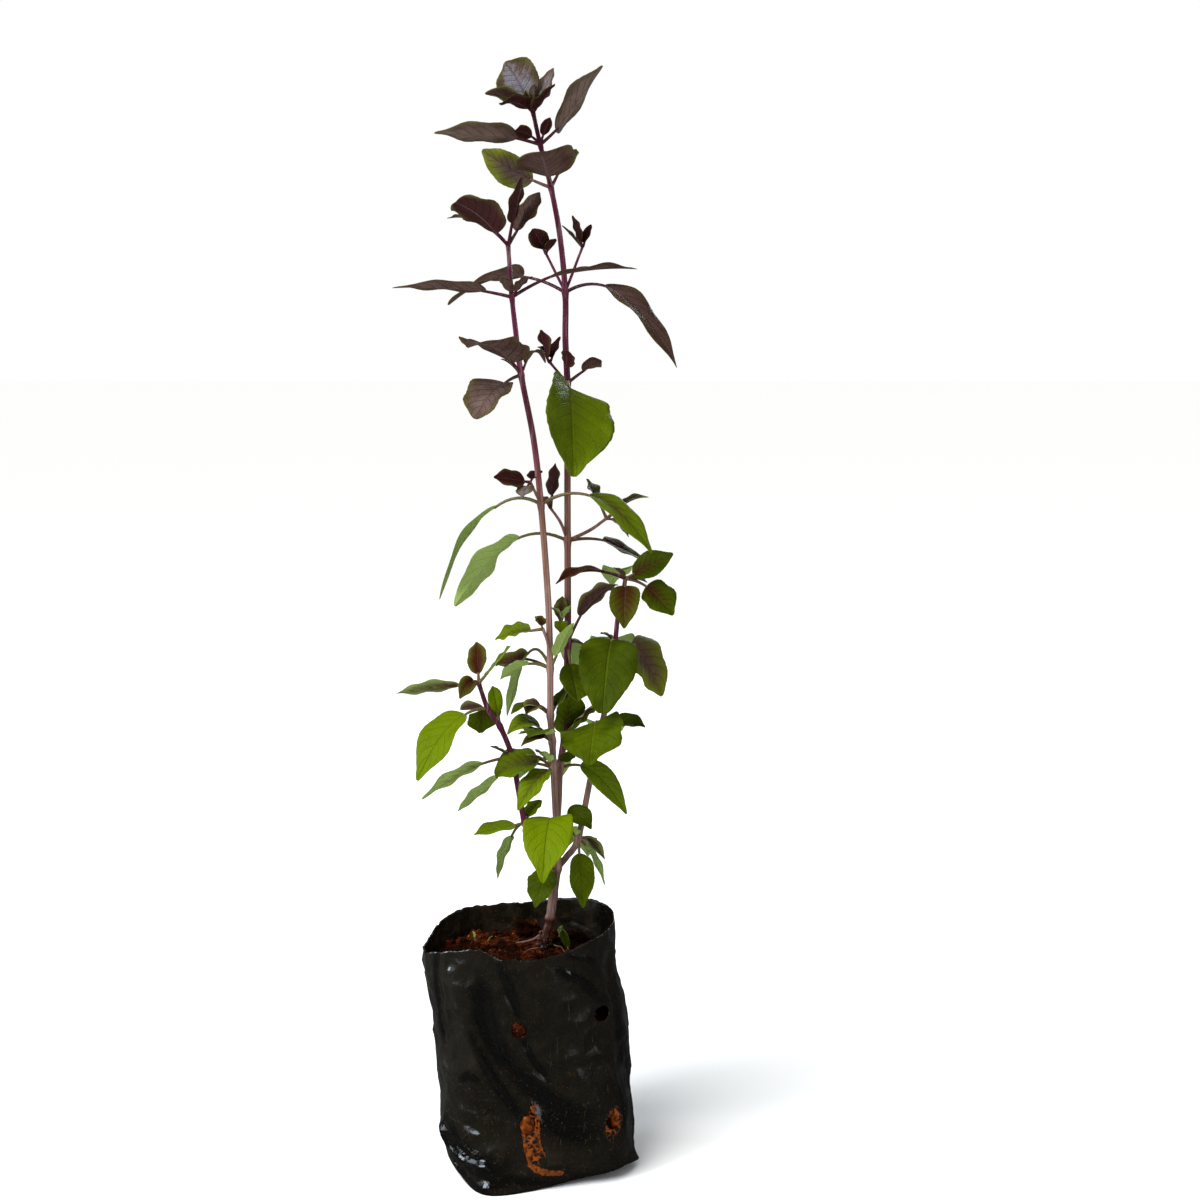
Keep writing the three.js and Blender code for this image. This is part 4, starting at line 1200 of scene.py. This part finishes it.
def growLeaf(blades, skin, number, joint, reach, arch, width, tone, turn=0, stalk=None, own=None):
    own = own or {}
    chance = np.random.default_rng(500 + number)
    purple, bright, bloom = leafTones[tone]
    joint, reach = np.array(joint, float), np.array(reach, float)
    length = np.linalg.norm(reach)
    big = length > leafShape["bigFrom"]
    rows, columns = leafShape["grid"][big]
    stalk = stalk or leafShape["stalk"][big]
    bend = reach / 2 + [0, 0, 2 * arch]
    level = np.array([-reach[1], reach[0], 0]) / math.hypot(reach[0], reach[1])

    def course(t):
        # the leaf's curve, 2 t (1 - t) bend + t^2 reach, and its direction
        t = t[:, None]
        return joint + 2 * t * (1 - t) * bend + t**2 * reach, unit(2 * (1 - 2 * t) * bend + 2 * t * reach)

    even = np.linspace(0, 1, rows + 1)
    s = 0.72 * even + 0.28 * (0.5 - 0.5 * np.cos(np.pi * even))
    s[0] = 0.006
    middle, ahead = course(stalk + (1 - stalk) * s)
    turnFoot, turnTip = np.broadcast_to(turn, 2)
    twist = np.radians(turnFoot + (turnTip - turnFoot + chance.uniform(-5, 5)) * s)[:, None]
    side = level * np.cos(twist) + np.cross(ahead, level) * np.sin(twist)
    over = np.cross(ahead, side)
    # across the blade, finer near the midrib
    spread = np.linspace(1, -1, columns)
    v = (np.sign(spread) * np.abs(spread) ** 1.25)[None]
    s = s[:, None]
    phase = (s * leafShape["teeth"][big] + 0.3 * np.sign(v) + chance.uniform(0, 1)) % 1
    bite = leafShape["toothDepth"] * (1 - phase) * np.clip(s * 8 - 0.6, 0, 1) * np.clip((1 - s) * 9, 0, 1)
    broad = width / length / (1 - stalk)
    full = own.get("full", np.clip(1.4 + 1.5 * broad, 2.0, 2.6) + 3 * np.clip(broad - 0.9, 0, 0.2))
    blunt = own.get("blunt", 0.0)
    half = bladeReach(s, width, full, (0.32 + 0.1 * (broad > 0.8)) * (1 - blunt), blunt)
    half = half * (1 + 0.05 * np.sin(5 * s + chance.uniform(0, 6)) * np.sign(v))
    half = np.maximum(half, 0.45 * (1 - s))
    reached = half * v * (1 - bite * v**6)
    # cup, curled edge, waves towards the edge, raised cells between the veins, arch, grooved midrib
    cup = chance.uniform(0.75, 1.25) * leafShape["fold"]
    lift = own.get("fold", cup) * half * np.abs(v) ** 1.4
    lift = lift - chance.uniform(0.0, 0.1) * half * np.clip(np.abs(v) - 0.7, 0, 1) ** 1.5 * 6
    ripple = np.sin(2 * np.pi * (s * chance.uniform(1.6, 3.0)) + np.sign(v) * 1.3 + chance.uniform(0, 6))
    lift = lift + width * chance.uniform(0.025, 0.06) * ripple * v**2 * np.sin(np.pi * s) ** 0.5
    cells = np.abs(np.sin(np.pi * veinPhase(s, v))) ** 0.7
    fade = np.sin(np.pi * np.clip(np.abs(v), 0, 1) ** 0.8) ** 0.8 * np.sin(np.pi * s) ** 0.4
    lift = lift + leafShape["pucker"] * width * cells * fade
    lift = lift + length * chance.uniform(-0.03, 0.03) * np.sin(np.pi * s)
    rib = np.exp(-(reached / 0.8) ** 2) * (1 - 0.75 * s)
    lift = lift - 0.4 * rib
    ribThick, bladeThick, rimThick = leafShape["halfThick"]
    thick = rimThick + (bladeThick - rimThick) * (1 - v**4) * (1 - 0.5 * s)
    thin = np.clip((1 - s) * 12, 0.3, 1)
    reached, v, s = np.broadcast_arrays(reached, v, s)
    flat = middle[:, None] + side[:, None] * reached[..., None]
    top = flat + over[:, None] * (lift + thick * thin)[..., None]
    low = flat + over[:, None] * (lift - (thick + ribThick * rib) * thin)[..., None]

    def both(face, back):
        # the upper face, then the lower one the other way round
        return np.concatenate([face, back[:, ::-1]], 1)[:-1]

    tint = np.clip(bright + chance.uniform(-0.1, 0.1), 0, 1.1)
    blades.loft(
        both(top, low), upper=both(np.ones_like(v), np.zeros_like(v)), along=both(s, s), across=both(v, v),
        purple=purple * chance.uniform(0.94, 1.06), bright=tint, bloom=bloom * chance.uniform(0.8, 1.1),
        mapX=both(s, s) * length * mm, mapY=both(reached, reached) * mm)
    # the stalk, from inside the stem to under the blade's base
    path, _ = course(np.linspace(0, stalk + 0.05 * (1 - stalk), 9))
    wide = np.interp(np.linspace(0, 1, 9), [0, 1], stemShape["stalkRadius"]) * min(1, 0.55 + length / 60)
    rings = tubeRings(path - over[0] * 0.25, wide, 9, reference=level + [0, 0, 0.01])
    skin.loft(rings, age=0.35 + 0.6 * min(purple, 1), leafy=1.0 - min(1, purple), lobe=0.0)


def growLeaves(blades, skin, leaves, number):
    for joint, group in leaves.items():
        for leaf in group:
            growLeaf(blades, skin, number, joint, *leaf)
            number += 1
    return number


def growStem(skin, tones, footRings, foot, tip, joints, leaves):
    path = smoothPath(joints, stemShape["steps"])
    t = np.linspace(0, 1, len(path))
    radius = foot + (tip - foot) * (t**0.4 if foot < tip else t**3)
    for joint in leaves:
        gap = np.linalg.norm(path - np.array(joint, float), axis=1)
        radius = radius * (1 + stemShape["knuckle"] * np.exp(-(gap / 2.4) ** 2))
    for height, more in footRings:
        radius = radius * (1 + more * np.exp(-((path[:, 2] - height) / 2.0) ** 2))
    lobe = np.arange(stemShape["sides"]) / stemShape["sides"]
    rings = tubeRings(path, radius, stemShape["sides"], stemShape["ribs"])
    grooves = 1 - 0.035 * np.cos(lobe * 8 * np.pi)
    rings = path[:, None] + (rings - path[:, None]) * grooves[:, None]
    age = np.interp(rings[..., 2], *np.array(tones, float).T)
    skin.loft(rings, age=age, leafy=0.0, lobe=np.broadcast_to(lobe, age.shape))


def leafSkin():
    # Colour, roughness and relief of a leaf. A side vein is where the vein phase is whole, the
    # midrib where across is nil, and purple spreads from the midrib and the base.
    colours = {
        "Fresh": rgb(98, 116, 2), "Deep": rgb(41, 51, 2), "Plum": rgb(50, 18, 18),
        "Painted sheen": rgb(100, 82, 73), "Underside": rgb(156, 180, 98),
        "Plum underside": rgb(64, 26, 26), "Painted sheen underside": rgb(122, 102, 90),
    }
    outputs = {"Colour": "Color", "Roughness": "Float", "Height": "Float"}
    tree, given, result = newGroup("leafSkin", colours, outputs)
    where = place(tree)
    s, v, upper, purple, bright, bloom = attributes(
        tree, "along", "across", "upper", "purple", "bright", "bloom")
    a = abs(v)
    square = a * a
    phase = (a * -0.2 + s - square * 0.12) * leafShape["veins"] + calc("SIGN", v) * 0.12
    near = abs(calc("FRACT", phase) - 0.5)
    sideVein = ease(noise(where, 260, 2) * 0.05 + near, 0.455, 0.52) * ease(a, 0.7, 1.0, 1.0, 0.15)
    midrib = ease(a, 0.01, 0.055, 1.0, 0.0)
    net = ease(cellEdges(add(tree, "ShaderNodeUVMap", uv_map="map"), 620), 0.02, 0.16, 1.0, 0.0)
    blotch = noise(where, 85, 4, 0.6)
    # how far the purple goes
    left = purple * 1.75 - 0.18 - (square * 0.95 + s * s * 0.55) + (blotch - 0.5) * 0.9
    plum = ease(left + ease(near, 0.3, 0.5) * 0.07, -0.12, 0.8)
    # the painted grey sheen is thick in the middle and broken by the blotches; where it is thickest it turns
    # into a painted bluish highlight
    paintedSheenShare = bloom * ease(square * -0.4 + blotch, 0.1, 0.62, 0.35, 1.15)
    oliveRim = ease(a, 0.55, 1.0) * (plum * 0.36)
    level = (blotch - 0.5) * 0.55 + bright
    green = blend(ease(level, 0.0, 1.0), given["Deep"], given["Fresh"])
    # on purple leaves what is left of the green is olive
    brownish = blend(ease(level, 0.2, 1.0), rgb(66, 58, 18), rgb(104, 100, 34))
    green = blend(ease(purple, 0.38, 0.58, 0.0, 0.85), green, brownish)
    paintedHighlight = blend(ease(paintedSheenShare, 0.95, 1.45), given["Painted sheen"], rgb(128, 122, 128))
    colour = coats(
        blend(plum, green, blend(paintedSheenShare, given["Plum"], paintedHighlight)),
        (oliveRim, rgb(84, 78, 20)),
        ((net * 0.3 + sideVein) * (plum * 0.4 + 0.05), rgb(24, 16, 8)),
        (midrib * (plum * 0.12 + 0.22), blend(plum, rgb(112, 122, 26), rgb(104, 70, 72))),
        (ease(a, 0.95, 1.0) * 0.25, blend(plum, rgb(98, 102, 20), rgb(92, 80, 40))),
    )
    palest = blend(ease(purple, 0.38, 0.62, 0.0, 0.85), given["Underside"], rgb(104, 98, 62))
    # undersides carry the painted grey sheen too
    under = coats(
        blend(plum, palest, blend(paintedSheenShare, given["Plum underside"], given["Painted sheen underside"])),
        (oliveRim, rgb(92, 88, 40)),
        (0.12, colour),
        (sideVein * (plum * 0.3 + 0.3), blend(plum, rgb(150, 166, 100), rgb(44, 18, 24))),
        (midrib * 0.5, blend(plum, rgb(156, 170, 104), rgb(126, 98, 100))),
    )
    feed(result["Colour"], blend(upper, under, colour))
    feed(result["Roughness"], ease(blotch, 0.3, 0.75, 0.36, 0.56) + (1.0 - upper) * 0.16)
    # veins are sunk above and stand out below
    lines = net * 0.3 + sideVein * 0.55 + midrib
    feed(result["Height"], lines * (upper * -2.0 + 1.0) + noise(where, 1500, 2) * 0.16)
    return tree


leafGroup = leafSkin()


def leafFinish(name, colours, shine):
    finish, tree, skin = newFinish(name, shine=shine)
    look = useGroup(tree, leafGroup, colours)
    feed(skin["Base Color"], look["Colour"])
    feed(skin["Roughness"], look["Roughness"])
    feed(skin["Normal"], relief(look["Height"], 0.0006, 0.8))
    return finish


barkColours = {  # by age
    0.0: rgb(20, 7, 4), 0.12: rgb(64, 30, 18), 0.25: rgb(138, 108, 98),
    0.5: rgb(126, 88, 72), 0.75: rgb(112, 38, 70), 1.0: rgb(70, 16, 36),
}


def stemBark():
    finish, tree, skin = newFinish("stemBark", shine=0.42)
    where = place(tree)
    age, leafy, lobe = attributes(tree, "age", "leafy", "lobe")
    specks = useGroup(tree, grit, {"Size": 1.3, "Specks": 0.4})
    streaks = noise(where, 520, 4, 0.6, 0.4, (1.0, 1.0, 0.07))
    patches = noise(where, 110, 4, 0.6, 0.5)
    ramp = tree.nodes.new("ShaderNodeValToRGB")
    stops = ramp.color_ramp.elements
    while len(stops) < len(barkColours):
        stops.new(0.5)
    for stop, (at, colour) in zip(stops, barkColours.items()):
        stop.position = at
        stop.color = colour
    feed(ramp.inputs[0], (patches - 0.5) * 0.12 + age)
    grown = ease(age, 0.12, 0.24)
    # dark lines down the four grooves of the stem: painted shade
    grooveShade = abs(calc("FRACT", lobe * 4) - 0.5)
    feed(skin["Base Color"], coats(
        Value(ramp.outputs[0]),
        (ease(streaks, 0.48, 0.68, 0.0, 0.5) * grown, rgb(58, 24, 30)),
        (ease(streaks, 0.34, 0.46, 0.34, 0.0) * grown, rgb(168, 138, 134)),
        (ease(grooveShade, 0.36, 0.5, 0.0, 0.45) * grown, rgb(52, 20, 28)),
        (leafy * 0.72, blend(patches, rgb(88, 76, 36), rgb(104, 104, 40))),
        (specks["Speck"] * 0.5, rgb(190, 170, 150)),
    ))
    feed(skin["Roughness"], ease(patches, 0.3, 0.7, 0.24, 0.42))
    feed(skin["Normal"], relief(specks["Height"] * 0.2 + streaks, 0.0006, 0.6))
    return finish


bark = stemBark()
purpleLeaf = leafFinish("purpleLeaf", {}, 0.1)
greenLeaf = leafFinish("greenLeaf", {"Plum": rgb(60, 25, 12)}, 0.05)


def growFoot(skin):
    # knobs and roots where the main stem meets the soil
    for middle, size, tone in footKnobs:
        rings = lumpRings(middle, (size, size * 0.8, size), 9, 12, 0.25, int(size * 50), 1.4)
        skin.loft(rings, age=tone, leafy=0.0, lobe=0.0)
    for path, radius, tone in roots:
        way = smoothPath(path, 8)
        radii = np.linspace(radius, radius * 0.3, len(way))
        skin.loft(tubeRings(way, radii, 8, reference=(0.1, 0.1, 1)), age=tone, leafy=0.0, lobe=0.0)


leafCount = 0
for node, tones in barkTones.items():
    skin, blades = Shells(), Shells()
    for stemNode, *stem in stems:
        if stemNode == node:
            growStem(skin, tones, footRings if node == "main_stem" else [], *stem)
            leafCount = growLeaves(blades, skin, stem[-1], leafCount)
    growLeaves(blades, skin, youngLeaves.get(node, {}), 300)
    if node == "main_stem":
        growFoot(skin)
    slot, finish = ("purple_leaf", purpleLeaf) if node.startswith("tall") else ("green_leaf", greenLeaf)
    skin.piece(node + "_bark", node, "woody_stem", bark)
    blades.piece(node + "_leaves", node, slot, finish)
print("plant:", leafCount, "leaves")

litter, litterStalks = Shells(), Shells()
growLeaves(litter, litterStalks, sprouts, leafCount)
litter.piece("soil_sprouts", "potting_soil", "green_leaf", greenLeaf)
litterStalks.piece("sprout_stalks", "potting_soil", "green_leaf", bark)
